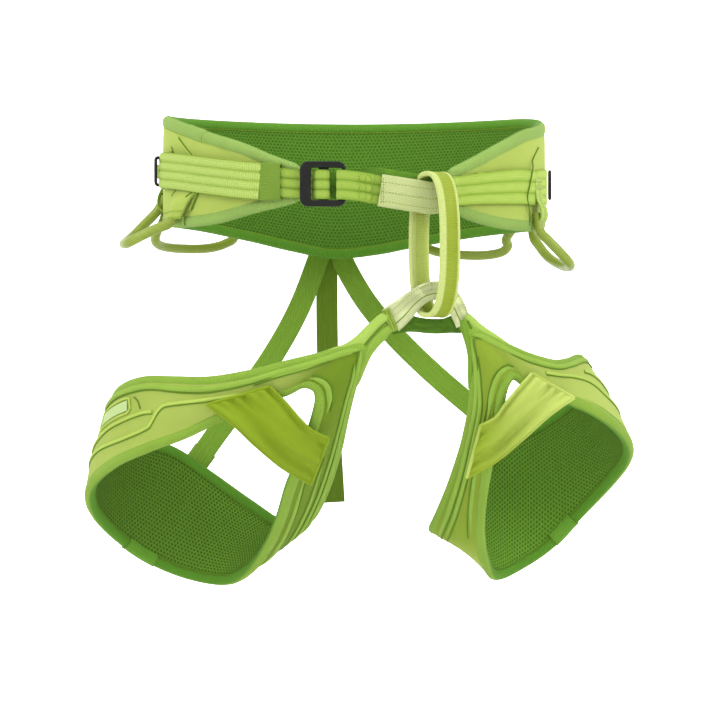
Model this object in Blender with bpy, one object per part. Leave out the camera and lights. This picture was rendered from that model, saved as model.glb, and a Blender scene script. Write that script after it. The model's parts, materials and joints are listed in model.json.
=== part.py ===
"""Climbing sit harness, at rest as it hangs from a wearer's waist.

Frame: +Z up, +X to the wearer's left, -Y to the front. The origin is the middle of the waist opening,
level with the load webbing at the hips. Sizes are in metres.
"""

import math

import bmesh
import bpy
from mathutils import Matrix, Vector

MM = 0.001

# Waist belt: an oval of three layers. Offsets are outward from the lining's inner face.
WAIST_HALF_WIDTH = 144 * MM
WAIST_HALF_DEPTH = 95 * MM
LEFT_TIP_DEG = -163
RIGHT_TIP_DEG = 150
LAYER_GAP = 0.3 * MM
LINING_THICK = 2.5 * MM
FOAM_THICK = 4.4 * MM
SHELL_THICK = 1.2 * MM
BINDING_RADIUS = 4.2 * MM
BINDING_INSET = 4.8 * MM
BINDING_OFFSET = 4.3 * MM

# Webbing
LOAD_WEB_WIDTH = 28 * MM
FRONT_WEB_WIDTH = 22 * MM
WEB_THICK = 1.4 * MM

# Buckle: a square frame with a sliding bar behind it.
BUCKLE_CENTRE = Vector((-23.5, -107.25, -8)) * MM
BUCKLE_WIDTH = 35 * MM
BUCKLE_HEIGHT = 34.5 * MM
BUCKLE_THICK = 3.4 * MM
BUCKLE_LEFT_BAR = 8.6 * MM
BUCKLE_RIGHT_BAR = 3.0 * MM
BUCKLE_ARM = 4.9 * MM

# Belay loop: a sewn ring of flat webbing round both tie-in points.
BELAY_CENTRE = Vector((61.6, -99, -53.8)) * MM
BELAY_HALF_HEIGHT = 54 * MM
BELAY_HALF_DEPTH = 18.5 * MM
BELAY_TURN_DEG = -51.5
BELAY_WEB_WIDTH = 16 * MM
BELAY_WEB_THICK = 3.4 * MM

# Leg loops. Offsets are outward from the middle surface of the padded band.
LEG_PAD_THICK = 4.5 * MM
LEG_WEB_START = 0.7 * MM
LEG_SHELL_START = 2.6 * MM
LEG_SHELL_THICK = 1.2 * MM
LEG_BINDING_RADIUS = 3.8 * MM
LEG_BINDING_INSET = 5.1 * MM
LEG_CROWN = 2 * MM
LEG_WEB_WIDTH = 15 * MM

GEAR_TUBE_RADIUS = 3.9 * MM
RISER_WIDTH = 18 * MM
RISER_THICK = 1.8 * MM

# The belt's upper rim, lower rim and webbing line: (degrees from the back, height in mm).
UPPER_RIM = [(-163, 4), (-155, 11), (-145, 21), (-132, 30), (-118, 39), (-104, 46), (-90, 50), (-60, 53),
             (0, 53), (60, 53), (80, 50), (92, 46), (104, 41), (117, 36), (127, 28), (135, 20), (143, 11),
             (150, 3)]
LOWER_RIM = [(-163, -19), (-150, -27), (-135, -36), (-115, -38), (-90, -35), (-60, -36), (-37, -43),
             (-21, -51), (-7, -57), (7, -54), (20, -48), (40, -41), (60, -38), (90, -38), (115, -41),
             (127, -40), (135, -37), (143, -32), (150, -25)]
WEB_LINE = [(-163, -7), (-150, -5), (-134, 0), (-118, 5), (-102, 8), (-84, 8), (-50, 3), (0, 0), (90, -4),
            (118, -7), (150, -10)]

# Leg bands: matching points on the upper and lower rim, in mm, from the crotch peak round the outside.
LEFT_LEG = [
    ((6, -103, -132), (-29, -104, -163)), ((-7, -104, -134), (-39, -104, -160)),
    ((-27, -104, -140), (-52, -104, -166)), ((-52, -103, -146), (-70, -102, -171)),
    ((-79, -100, -153), (-87, -99, -179)), ((-110, -92, -158), (-105, -95, -187)),
    ((-138, -80, -158), (-130, -90, -199)), ((-162, -63, -158), (-157, -80, -209)),
    ((-182, -38, -165), (-186, -52, -222)), ((-192, -5, -179), (-208, -15, -240)),
    ((-191, 30, -195), (-212, 18, -260)), ((-176, 60, -208), (-200, 48, -281)),
    ((-149, 79, -218), (-173, 70, -304)), ((-120, 86, -238), (-140, 76, -319)),
    ((-88, 78, -260), (-106, 66, -324)), ((-58, 55, -277), (-85, 42, -313)),
    ((-37, 22, -271), (-69, 10, -291)), ((-23, -10, -245), (-58, -25, -267)),
    ((-13, -40, -213), (-49, -62, -239)), ((-7, -65, -185), (-37, -88, -211)),
    ((-1, -82, -161), (-28, -100, -184)), ((5, -96, -143), (-26, -103, -171)),
]
RIGHT_LEG = [
    ((89, -99, -121), (118, -99, -156)), ((100, -98, -124), (124, -98, -154)),
    ((118, -94, -133), (134, -97, -161)), ((135, -86, -140), (146, -94, -166)),
    ((154, -70, -145), (158, -90, -170)), ((167, -50, -144), (169, -85, -174)),
    ((178, -22, -141), (187, -72, -182)), ((185, 8, -147), (205, -48, -194)),
    ((190, 35, -158), (218, -14, -208)), ((185, 58, -172), (220, 18, -223)),
    ((172, 74, -185), (209, 45, -242)), ((152, 84, -198), (188, 66, -267)),
    ((129, 85, -211), (162, 74, -295)), ((106, 74, -232), (135, 64, -312)),
    ((85, 52, -254), (115, 42, -318)), ((69, 27, -272), (106, 14, -305)),
    ((63, 2, -277), (101, -10, -285)), ((70, -22, -259), (100, -36, -262)),
    ((79, -45, -233), (102, -60, -237)), ((87, -64, -204), (106, -82, -211)),
    ((92, -80, -173), (111, -92, -186)), ((92, -92, -143), (113, -97, -168)),
]

# Elastic panels in front of each thigh: (top edge, bottom edge) in mm, from the outer seam inwards.
LEFT_PANEL = [((-64, -111, -162), (-112, -103, -176)), ((-52, -111.5, -174), (-92, -107, -191)),
              ((-40, -110, -188), (-73, -103, -209)), ((-31, -107, -196), (-54, -93, -225)),
              ((-22, -101.5, -200), (-38, -79, -233))]
RIGHT_PANEL = [((136, -103, -152), (169, -93, -171)), ((126, -104.5, -163), (150, -99, -184)),
               ((116, -104.5, -175), (129, -97, -203)), ((108, -102, -186), (108, -86, -221)),
               ((98, -97, -192), (93, -74, -232))]

# Rear straps, from the buckle behind the belt down to the back of each leg loop, in mm.
RISERS = {
    "left": [(-25, 113.2, -40), (-30, 113, -56), (-46, 104, -98), (-66, 99, -135), (-92, 96, -173),
             (-118, 95, -208), (-134, 94.5, -232)],
    "right": [(-15, 116, -40), (-9, 115.6, -60), (10, 107, -93), (36, 103, -124), (68, 99, -155),
              (102, 96, -184), (123, 94.5, -203)],
}
RISER_TABS = {
    "left": [(-124, 97.2, -217), (-134, 97, -231), (-144, 92, -247)],
    "right": [(112, 97.8, -193), (123, 97, -203), (140, 92.5, -220)],
}


# ---------------------------------------------------------------- curves
def table(rows, at):
    """The value of a smooth curve through (place, value) rows at a place."""
    rows = [(float(p), float(v)) for p, v in rows]
    last = len(rows) - 1
    k = next((i for i in range(last) if at <= rows[i + 1][0]), last - 1)
    (p1, v1), (p2, v2) = rows[k], rows[k + 1]
    p0, v0 = rows[max(k - 1, 0)]
    p3, v3 = rows[min(k + 2, last)]
    span = p2 - p1
    t = min(max((at - p1) / span, 0), 1)
    m1 = (v2 - v0) / (p2 - p0) * span
    m2 = (v3 - v1) / (p3 - p1) * span
    return ((2 * t**3 - 3 * t**2 + 1) * v1 + (t**3 - 2 * t**2 + t) * m1
            + (3 * t**2 - 2 * t**3) * v2 + (t**3 - t**2) * m2)


def spline(points, steps, closed=False):
    """Points on a Catmull-Rom curve, with this many steps between each two given points."""
    points = [Vector(p) for p in points]
    count = len(points)
    out = []
    for i in range(count if closed else count - 1):
        if closed:
            p0, p1, p2, p3 = (points[(i + d) % count] for d in (-1, 0, 1, 2))
        else:
            p0, p1, p2, p3 = (points[min(max(i + d, 0), count - 1)] for d in (-1, 0, 1, 2))
        for s in range(steps):
            t = s / steps
            out.append(0.5 * (2 * p1 + (p2 - p0) * t + (2 * p0 - 5 * p1 + 4 * p2 - p3) * t * t
                              + (3 * p1 - p0 - 3 * p2 + p3) * t**3))
    if not closed:
        out.append(points[-1])
    return out


def mm(points):
    return [Vector(p) * MM for p in points]


def tangents(points, closed=False):
    count = len(points)
    found = []
    for i in range(count):
        before = points[(i - 1) % count] if closed else points[max(i - 1, 0)]
        after = points[(i + 1) % count] if closed else points[min(i + 1, count - 1)]
        found.append((after - before).normalized())
    return found


# ---------------------------------------------------------------- solids
def material(name, colour, roughness=0.8, metallic=0.0):
    made = bpy.data.materials.get(name) or bpy.data.materials.new(name)
    made.use_nodes = True
    shader = made.node_tree.nodes["Principled BSDF"]
    shader.inputs["Base Color"].default_value = (*colour, 1)
    shader.inputs["Roughness"].default_value = roughness
    shader.inputs["Metallic"].default_value = metallic
    return made


def add_object(name, mesh, look):
    mesh.materials.append(look)
    made = bpy.data.objects.new(name, mesh)
    bpy.context.scene.collection.objects.link(made)
    return made


def loft(name, rings, look, closed=False, split=False):
    """A solid through closed cross-sections with the same number of points, capped unless it closes.

    split cuts each quad of a layer in two, along the same diagonal on both of its faces, so that layers
    that lie on each other bend alike.
    """
    shape = bmesh.new()
    grid = [[shape.verts.new(p) for p in ring] for ring in rings]
    count, around = len(grid), len(grid[0])
    for i in range(count if closed else count - 1):
        a, b = grid[i], grid[(i + 1) % count]
        for j in range(around):
            k = (j + 1) % around
            if not split:
                shape.faces.new((a[j], a[k], b[k], b[j]))
            elif j < around // 2:
                shape.faces.new((a[j], a[k], b[k]))
                shape.faces.new((a[j], b[k], b[j]))
            else:
                shape.faces.new((a[j], a[k], b[j]))
                shape.faces.new((a[k], b[k], b[j]))
    if not closed:
        shape.faces.new(grid[0])
        shape.faces.new(reversed(grid[-1]))
    bmesh.ops.recalc_face_normals(shape, faces=shape.faces)
    mesh = bpy.data.meshes.new(name)
    shape.to_mesh(mesh)
    shape.free()
    mesh.shade_smooth()
    mesh.set_sharp_from_angle(angle=math.radians(40))
    return add_object(name, mesh, look)


def hollow_loft(name, outer, inner, look):
    """A sleeve: an outer and an inner wall through matching cross-sections, joined at both mouths."""
    shape = bmesh.new()
    walls = [[[shape.verts.new(p) for p in ring] for ring in wall] for wall in (outer, inner)]
    around = len(outer[0])
    for wall in walls:
        for a, b in zip(wall, wall[1:]):
            for j in range(around):
                k = (j + 1) % around
                shape.faces.new((a[j], a[k], b[k], b[j]))
    for end in (0, -1):
        for j in range(around):
            k = (j + 1) % around
            shape.faces.new((walls[0][end][j], walls[0][end][k], walls[1][end][k], walls[1][end][j]))
    bmesh.ops.recalc_face_normals(shape, faces=shape.faces)
    mesh = bpy.data.meshes.new(name)
    shape.to_mesh(mesh)
    shape.free()
    return add_object(name, mesh, look)


def layer_ring(low, high, normal, inner, outer, insets, cross, crown=0.0):
    """The cross-section of one layer of a band between its rims, kept inside them by the two insets."""
    across = high - low
    first, last = insets[0] / across.length, 1 - insets[1] / across.length
    shares = [first + (last - first) * i / cross for i in range(cross + 1)]
    rise = [normal * crown * 4 * s * (1 - s) for s in shares]
    bottom = [low + across * s + r + normal * inner for s, r in zip(shares, rise)]
    top = [low + across * s + r + normal * outer for s, r in zip(shares, rise)]
    return bottom + top[::-1]


def strap(name, path, widths, width, thick, look, closed=False):
    """Flat webbing along a path. widths holds the direction of its width at each point."""
    rings = []
    for point, along, across in zip(path, tangents(path, closed), widths):
        side = (across - along * across.dot(along)).normalized()
        face = along.cross(side).normalized()
        w, t = side * width / 2, face * thick / 2
        rings.append([point - w - t, point + w - t, point + w + t, point - w + t])
    return loft(name, rings, look, closed)


def tube(name, path, radius, look, closed=False, sides=6):
    """A round cord along a path, its cross-section carried along without twisting."""
    rings = []
    up = Vector((0.1, 0.2, 1))
    for point, along in zip(path, tangents(path, closed)):
        up = (up - along * up.dot(along)).normalized()
        side = along.cross(up)
        turn = [2 * math.pi * k / sides for k in range(sides)]
        rings.append([point + (side * math.cos(a) + up * math.sin(a)) * radius for a in turn])
    return loft(name, rings, look, closed)


def plate(name, outline, centre, across, up, thick, look, hole=None):
    """A flat plate: an outline of (x, y) points about its centre, extruded both ways, and a hole if given."""
    across, up = across.normalized(), up.normalized()
    face = across.cross(up)

    def level(points, share):
        return [centre + across * x + up * y + face * thick * share for x, y in points]

    if hole is None:
        return loft(name, [level(outline, -0.5), level(outline, 0.5)], look)
    return hollow_loft(name, [level(outline, -0.5), level(outline, 0.5)],
                       [level(hole, -0.5), level(hole, 0.5)], look)


def rounded(left, right, low, high, radius, steps=4):
    """A rectangle's outline with round corners, counter-clockwise from the right side's foot."""
    corners = [((right - radius, low + radius), -90), ((right - radius, high - radius), 0),
               ((left + radius, high - radius), 90), ((left + radius, low + radius), 180)]
    out = []
    for (x, y), start in corners:
        for k in range(steps + 1):
            a = math.radians(start + 90 * k / steps)
            out.append((x + radius * math.cos(a), y + radius * math.sin(a)))
    return out


# ---------------------------------------------------------------- waist belt
def belt_normal(degrees):
    a = math.radians(degrees)
    return Vector((math.sin(a) * WAIST_HALF_DEPTH, math.cos(a) * WAIST_HALF_WIDTH, 0)).normalized()


def belt_point(degrees, height, offset):
    a = math.radians(degrees)
    base = Vector((math.sin(a) * WAIST_HALF_WIDTH, math.cos(a) * WAIST_HALF_DEPTH, height))
    return base + belt_normal(degrees) * offset


def belt_angles(first, last, step=6.0):
    count = max(1, round(abs(last - first) / step))
    return [first + (last - first) * i / count for i in range(count + 1)]


def belt_layer(name, inner, outer, look):
    rings = []
    for a in belt_angles(LEFT_TIP_DEG + 2.2, RIGHT_TIP_DEG - 2.2):
        low = belt_point(a, table(LOWER_RIM, a) * MM, 0)
        high = belt_point(a, table(UPPER_RIM, a) * MM, 0)
        rings.append(layer_ring(low, high, belt_normal(a), inner, outer, (BINDING_INSET, BINDING_INSET), 2))
    return loft(name, rings, look, split=True)


def belt_outline():
    """The belt's edge: the upper rim from tip to tip, then the lower rim back."""
    angles = belt_angles(LEFT_TIP_DEG, RIGHT_TIP_DEG, 8.0)
    upper = [belt_point(a, table(UPPER_RIM, a) * MM, BINDING_OFFSET) for a in angles]
    lower = [belt_point(a, table(LOWER_RIM, a) * MM, BINDING_OFFSET) for a in reversed(angles)]
    return upper + lower


def belt_strap(name, first, last, offset, width, look, line=WEB_LINE, thick=WEB_THICK):
    """Webbing laid along the belt between two angles, standing off the lining by the offset."""
    angles = belt_angles(first, last)
    path = [belt_point(a, table(line, a) * MM, offset + thick / 2) for a in angles]
    return strap(name, path, [Vector((0, 0, 1))] * len(path), width, thick, look)


def make_waist(looks):
    start = 0.0
    layers = (("waist_mesh_lining", LINING_THICK, "mesh"), ("waist_foam_pad", FOAM_THICK, "foam"),
              ("waist_outer_shell", SHELL_THICK, "shell"))
    for name, thick, look in layers:
        belt_layer(name, start, start + thick, looks[look])
        start += thick + LAYER_GAP
    tube("waist_edge_binding", belt_outline(), BINDING_RADIUS, looks["binding"], closed=True)
    belt_strap("waist_load_webbing", -147, 141, start, LOAD_WEB_WIDTH, looks["webbing"])
    return start + WEB_THICK + LAYER_GAP


def front_path(points, level):
    """Points of a front strap: plan points in mm, and its height as a table over x in mm."""
    return [Vector((x, y, table(level, x))) * MM for x, y in points]


FRONT_LEVEL = [(-130, -2), (-95, -3), (-70, -5), (-40, -8), (-5, -9), (20, -12.5), (50, -17), (62, -18),
               (78, -13), (100, -10), (130, -7)]


TIE_IN_LINE = [(20, -103.1), (30, -102.2), (40, -101.1), (50, -99.9), (60, -98.5), (70, -96.9)]


def make_front_webbing(looks, on_load_webbing):
    up = Vector((0, 0, 1))
    look = looks["webbing"]

    lower = [(-33.5, -101), (-40, -101.1), (-46, -101)]
    lower_path = front_path(lower, FRONT_LEVEL)
    upper = [(-33.4, -103.3), (-40, -103.5), (-46, -103.3)]
    upper_path = front_path(upper, FRONT_LEVEL)
    for a in (-160, -156, -152, -148, -144, -140, -136):
        for path, offset in ((lower_path, on_load_webbing), (upper_path, on_load_webbing + 1.8 * MM)):
            base = belt_point(a, 0, offset + WEB_THICK / 2)
            base.z = table(FRONT_LEVEL, base.x / MM) * MM
            path.append(base)
    for a in (-130, -124, -118, -112):
        base = belt_point(a, 0, on_load_webbing + 1.8 * MM + WEB_THICK / 2)
        base.z = table(WEB_LINE, a) * MM
        upper_path.append(base)
    strap("adjust_webbing_standing", lower_path, [up] * len(lower_path), FRONT_WEB_WIDTH, WEB_THICK, look)
    strap("adjust_webbing_tail", upper_path, [up] * len(upper_path), FRONT_WEB_WIDTH, WEB_THICK, look)

    wrap = [(-30.6, -103.9), (-29.2, -106.2), (-27, -107.9), (-22, -108.1), (-18.6, -107.6), (-16.9, -105.6),
            (-17.3, -103.4), (-19.5, -102.3), (-25, -101.6), (-31.6, -101.1)]
    wrap_path = front_path(wrap, FRONT_LEVEL)
    strap("adjust_webbing_wrap", wrap_path, [up] * len(wrap_path), FRONT_WEB_WIDTH, WEB_THICK, look)

    tie_in = [(14, -107.2), (6, -110.2), (-6, -110.6), (-11.6, -109.8), (-13.3, -107.3), (-11.6, -104.6),
              (-6, -103.7), (6, -103.6), (16, -103.4)] + TIE_IN_LINE + [(78, -95.4)]
    tie_path = front_path(tie_in, FRONT_LEVEL)
    for a in (147, 141, 135, 129, 123):
        base = belt_point(a, 0, on_load_webbing + WEB_THICK / 2)
        base.z = table(FRONT_LEVEL, base.x / MM) * MM
        tie_path.append(base)
    strap("tie_in_webbing", tie_path, [up] * len(tie_path), FRONT_WEB_WIDTH, WEB_THICK, look)

    core = front_path(TIE_IN_LINE, FRONT_LEVEL)
    sleeve_round("tie_in_protector", core, 24.4 * MM, 22.8 * MM, 4.4 * MM, 2.6 * MM, looks["protector"])


def sleeve_round(name, path, tall, tall_inside, thick, thick_inside, look):
    """A flat fabric tube round webbing that runs along a path, its width upright."""
    outer, inner = [], []
    for point, along in zip(path, tangents(path)):
        up = (Vector((0, 0, 1)) - along * along.z).normalized()
        face = along.cross(up)
        for wall, h, t in ((outer, tall, thick), (inner, tall_inside, thick_inside)):
            corners = ((-1, -1), (1, -1), (1, 1), (-1, 1))
            wall.append([point + up * a * h / 2 + face * b * t / 2 for a, b in corners])
    return hollow_loft(name, outer, inner, look)


def make_left_wing_sleeve(looks, on_tail):
    """The wide ribbed cover on the belt's buckle side, which the tail end is tucked under."""
    belt_strap("tail_sleeve", -150.5, -106, on_tail, 30 * MM, looks["webbing"])


def make_keeper(looks):
    """An elastic loop round both strands beside the buckle."""
    middle = -155.5
    front = belt_point(middle, 0, 0)
    normal = belt_normal(middle)
    along = Vector((-normal.y, normal.x, 0))
    centre = front + normal * 12.3 * MM
    centre.z = table(FRONT_LEVEL, centre.x / MM) * MM
    path = [centre - along * 8 * MM, centre + along * 8 * MM]
    return sleeve_round("webbing_keeper", path, 27.5 * MM, 24.6 * MM, 6.4 * MM, 4.6 * MM, looks["elastic"])


# ---------------------------------------------------------------- buckle
def make_buckle(looks):
    half_w, half_h = BUCKLE_WIDTH / 2, BUCKLE_HEIGHT / 2
    outline = rounded(-half_w, half_w, -half_h, half_h, 6 * MM)
    window = rounded(-half_w + BUCKLE_LEFT_BAR, half_w - BUCKLE_RIGHT_BAR, -half_h + BUCKLE_ARM,
                     half_h - BUCKLE_ARM, 1.2 * MM)
    across, up = Vector((1, 0, 0)), Vector((0, 0, 1))
    plate("buckle_frame", outline, BUCKLE_CENTRE, across, up, BUCKLE_THICK, looks["metal"], hole=window)
    bar = rounded(-3.8 * MM, 3.8 * MM, -13.6 * MM, 13.6 * MM, 1.1 * MM, 2)
    plate("buckle_slide_bar", bar, Vector((-22.9, -104.4, -8)) * MM, across, up, 1.9 * MM, looks["metal"])


# ---------------------------------------------------------------- belay loop and leg bridge
def belay_points(count=44):
    """The ring's centre line: a tall rounded oval in an upright plane."""
    power = 0.78
    heading = math.radians(BELAY_TURN_DEG)
    forward = Vector((math.cos(heading), math.sin(heading), 0))
    out = []
    for k in range(count):
        a = 2 * math.pi * k / count
        s, c = math.sin(a), math.cos(a)
        deep = math.copysign(abs(s) ** power, s) * BELAY_HALF_DEPTH
        tall = math.copysign(abs(c) ** power, c) * BELAY_HALF_HEIGHT
        out.append(BELAY_CENTRE + forward * deep + Vector((0, 0, tall)))
    return out, Vector((-forward.y, forward.x, 0))


def make_belay(looks):
    ring, across = belay_points()
    widths = [across] * len(ring)
    strap("belay_loop", ring, widths, BELAY_WEB_WIDTH, BELAY_WEB_THICK, looks["belay"], closed=True)


def make_bridge(looks):
    """The protected webbing arch between the leg loops, and the strap that closes the lower tie-in point."""
    arch = spline(mm([(31.5, -98.5, -110), (38, -98.5, -102), (46, -98.5, -94.5), (55, -98.5, -89),
                      (64, -98.5, -87.5), (72, -98.5, -91), (78, -98.5, -99), (81, -98.5, -107.5)]), 2)
    widths = [Vector((-t.z, 0, t.x)) for t in tangents(arch)]
    strap("bridge_webbing", arch, widths, 13 * MM, 3.4 * MM, looks["protector"])
    lower = mm([(30.5, -92, -117.5), (46, -91.5, -117), (58, -91, -116.8), (68, -91.5, -116.6),
                (80, -92, -116.5)])
    widths = [Vector((0, 0, 1))] * len(lower)
    strap("bridge_closing_strap", lower, widths, 10.4 * MM, WEB_THICK, looks["binding"])


# ---------------------------------------------------------------- leg loops
def leg_band(stations, facing):
    """Rim points and outward normals of a leg band, two steps to a station. facing is +1 or -1."""
    high = spline(mm([s[0] for s in stations]), 2, closed=True)
    low = spline(mm([s[1] for s in stations]), 2, closed=True)
    middle = [(a + b) / 2 for a, b in zip(high, low)]
    normals = []
    for along, a, b in zip(tangents(middle, True), high, low):
        normals.append(along.cross(a - b).normalized() * facing)
    return high, low, normals


def leg_layer(name, band, inner, outer, look):
    rings = []
    for a, b, n, rim_a, rim_b in zip(*band, tangents(band[0], True), tangents(band[1], True)):
        across = (a - b).normalized()
        insets = [LEG_BINDING_INSET / max(across.cross(rim).length, 0.45) for rim in (rim_b, rim_a)]
        rings.append(layer_ring(b, a, n, inner, outer, insets, 4, LEG_CROWN))
    return loft(name, rings, look, closed=True, split=True)


def leg_patch(name, band, first, last, width, share, inner, look):
    """Webbing or a label lying on the band between two of its places, its middle at a share of the width."""
    high, low, normals = band
    rings = []
    for i in range(first, last + 1):
        across = (high[i] - low[i]).length
        insets = (share * across - width / 2, (1 - share) * across - width / 2)
        rings.append(layer_ring(low[i], high[i], normals[i], inner, inner + WEB_THICK, insets, 2, LEG_CROWN))
    return loft(name, rings, look, split=True)


def panel(name, edges, thick, look):
    """The elastic panel: a thin sheet between a top and a bottom edge."""
    top = spline(mm([e[0] for e in edges]), 3)
    bottom = spline(mm([e[1] for e in edges]), 3)
    rings = []
    for a, b, along in zip(top, bottom, tangents(top)):
        normal = along.cross(a - b).normalized()
        rings.append(layer_ring(b, a, normal, -thick / 2, thick / 2, (0.0, 0.0), 1))
    return loft(name, rings, look)


def make_leg_label(looks):
    """A blank sewn patch on the outside of the left leg loop."""
    face = LEG_SHELL_START + LEG_SHELL_THICK + LAYER_GAP
    leg_patch("leg_left_label", leg_band(LEFT_LEG, -1), 15, 17, 13 * MM, 0.62, face, looks["protector"])


def make_leg(side, stations, facing, edges, arm, looks):
    band = leg_band(stations, facing)
    high, low, normals = band
    name = f"leg_{side}_"
    leg_layer(name + "mesh_padding", band, -LEG_PAD_THICK, 0, looks["mesh"])
    leg_patch(name + "load_webbing", band, 11, 31, LEG_WEB_WIDTH, 0.5, LEG_WEB_START, looks["webbing"])
    shell_face = LEG_SHELL_START + LEG_SHELL_THICK
    leg_layer(name + "outer_shell", band, LEG_SHELL_START, shell_face, looks["shell"])
    middle = (shell_face - LEG_PAD_THICK) / 2
    for rim, points in (("upper", high), ("lower", low)):
        path = [p + n * middle for p, n in zip(points, normals)]
        tube(f"{name}{rim}_binding", path, LEG_BINDING_RADIUS, looks["binding"], closed=True)
    panel(name + "elastic_panel", edges, 1.2 * MM, looks["stretch"])
    path = spline(mm(arm), 2)
    widths = [Vector((-t.z, 0, t.x)) for t in tangents(path)]
    strap(name + "arm_webbing", path, widths, 17 * MM, 2.2 * MM, looks["binding"])


# ---------------------------------------------------------------- gear loops, risers and small parts
GEAR_LOOPS = {
    "gear_loop_front_left": [(-144, -52, -35), (-153, -53, -39), (-166, -51, -45), (-177, -42, -50),
                             (-182, -22, -50), (-183, 0, -48), (-178, 16, -42), (-169, 23, -32),
                             (-159, 25, -21)],
    "gear_loop_rear_left": [(-156, 33, -32), (-161, 36, -40), (-163, 44, -49), (-157, 58, -53),
                            (-140, 77, -54), (-122, 90, -53), (-108, 97, -48), (-100, 98, -40)],
    "gear_loop_front_right": [(147, -44, -42), (153, -46, -49), (163, -44, -60), (172, -36, -69),
                              (174, -18, -72), (168, 4, -69), (158, 22, -61), (151, 34, -50),
                              (147, 42, -41)],
    "gear_loop_rear_right": [(127, 71, -43), (128, 74, -51), (122, 80, -57), (106, 89, -59),
                             (86, 97, -58), (68, 103, -55), (58, 106, -49), (57, 105, -42)],
}


def make_gear_loops(looks):
    for name, points in GEAR_LOOPS.items():
        tube(name, spline(mm(points), 2), GEAR_TUBE_RADIUS, looks["tube"], sides=8)


def make_gear_tabs(looks, on_load_webbing):
    """Short webbing tabs that hold the gear loops' ends, sewn over the load webbing."""
    for name, degrees in (("gear_tab_left_front", -108), ("gear_tab_left_middle", -78),
                          ("gear_tab_left_rear", -44), ("gear_tab_right_rear", 26),
                          ("gear_tab_right_middle", 66), ("gear_tab_right_front", 108)):
        middle = table(WEB_LINE, degrees) * MM - 4 * MM
        path = [belt_point(degrees, middle + dz * MM, on_load_webbing + WEB_THICK / 2) for dz in (-24, 0, 12)]
        normal = belt_normal(degrees)
        side = Vector((-normal.y, normal.x, 0))
        strap(name, path, [side] * 3, 12 * MM, WEB_THICK, looks["webbing"])


def make_side_rings(looks, on_load_webbing):
    """Small plastic frames on both hips, where an ice clip goes."""
    outline = rounded(0, 9 * MM, -12 * MM, 12 * MM, 3.6 * MM, 3)
    window = rounded(2.1 * MM, 6.9 * MM, -9.2 * MM, 9.2 * MM, 1.6 * MM, 3)
    for side, degrees, rise, lean in (("left", -102.5, -1 * MM, 40), ("right", 93, 2 * MM, 88)):
        centre = belt_point(degrees, table(WEB_LINE, degrees) * MM + rise, on_load_webbing + 1.5 * MM)
        leaning = Matrix.Rotation(math.radians(lean), 3, "Z") @ belt_normal(degrees)
        plate(f"side_ring_{side}", outline, centre, leaning, Vector((0, 0, 1)), 2.6 * MM, looks["plastic"],
              hole=window)


def make_risers(looks):
    """Elastic rear straps that hold the leg loops up at the back, and their loose tail end."""
    look = looks["riser"]
    centre = Vector((-20, 110.5, -42)) * MM
    across, up = Vector((1, 0, 0)), Vector((0, 0, 1))
    outline = rounded(-13 * MM, 13 * MM, -8 * MM, 8 * MM, 3 * MM)
    window = rounded(-9.6 * MM, 9.6 * MM, 0.4 * MM, 4.6 * MM, 1 * MM)
    plate("riser_buckle", outline, centre, across, up, 2.4 * MM, looks["plastic"], hole=window)
    tab = mm([(-20, 107.6, -28), (-20, 107.6, -40), (-20, 107.6, -52)])
    strap("riser_buckle_tab", tab, [across] * 3, 20 * MM, WEB_THICK, looks["webbing"])
    for side, points in RISERS.items():
        path = spline(mm(points), 3)
        widths = [Vector((-t.z, 0, t.x)) for t in tangents(path)]
        strap(f"riser_{side}", path, widths, RISER_WIDTH, RISER_THICK, look)
    tail = spline(mm([(-23, 119.4, -36), (-23, 119.4, -110), (-21, 119.4, -190), (-17, 119.4, -262)]), 3)
    strap("riser_tail", tail, [across] * len(tail), RISER_WIDTH, RISER_THICK, look)
    for side, points in RISER_TABS.items():
        path = mm(points)
        widths = [Vector((-t.z, 0, t.x)) for t in tangents(path)]
        strap(f"leg_{side}_riser_tab", path, widths, 20 * MM, WEB_THICK, looks["binding"])


def make_looks():
    return {
        "mesh": material("spacer_mesh", (0.09, 0.30, 0.03), 0.9),
        "foam": material("foam", (0.75, 0.75, 0.70), 0.9),
        "shell": material("shell_fabric", (0.50, 0.62, 0.10), 0.8),
        "binding": material("edge_binding", (0.21, 0.50, 0.05), 0.75),
        "webbing": material("webbing", (0.50, 0.70, 0.10), 0.8),
        "protector": material("protector", (0.62, 0.70, 0.36), 0.85),
        "belay": material("belay_webbing", (0.45, 0.62, 0.06), 0.75),
        "elastic": material("elastic", (0.24, 0.40, 0.05), 0.85),
        "stretch": material("stretch_fabric", (0.36, 0.50, 0.02), 0.6),
        "riser": material("riser_webbing", (0.13, 0.32, 0.03), 0.8),
        "tube": material("gear_tube", (0.42, 0.55, 0.04), 0.5),
        "metal": material("black_metal", (0.02, 0.02, 0.02), 0.35, 0.8),
        "plastic": material("black_plastic", (0.03, 0.03, 0.03), 0.45),
    }


def main():
    for old in list(bpy.data.objects):
        bpy.data.objects.remove(old)
    looks = make_looks()
    on_load_webbing = make_waist(looks)
    make_front_webbing(looks, on_load_webbing)
    make_left_wing_sleeve(looks, on_load_webbing + 2 * (WEB_THICK + 0.4 * MM))
    make_keeper(looks)
    make_buckle(looks)
    make_belay(looks)
    make_bridge(looks)
    left_arm = [(27, -98.5, -115), (20, -99.5, -120), (13, -100.5, -125)]
    right_arm = [(82.6, -98.3, -111), (85, -98.6, -113.6)]
    make_leg("left", LEFT_LEG, -1, LEFT_PANEL, left_arm, looks)
    make_leg("right", RIGHT_LEG, 1, RIGHT_PANEL, right_arm, looks)
    make_leg_label(looks)
    make_gear_loops(looks)
    make_gear_tabs(looks, on_load_webbing)
    make_side_rings(looks, on_load_webbing)
    make_risers(looks)


main()
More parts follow.
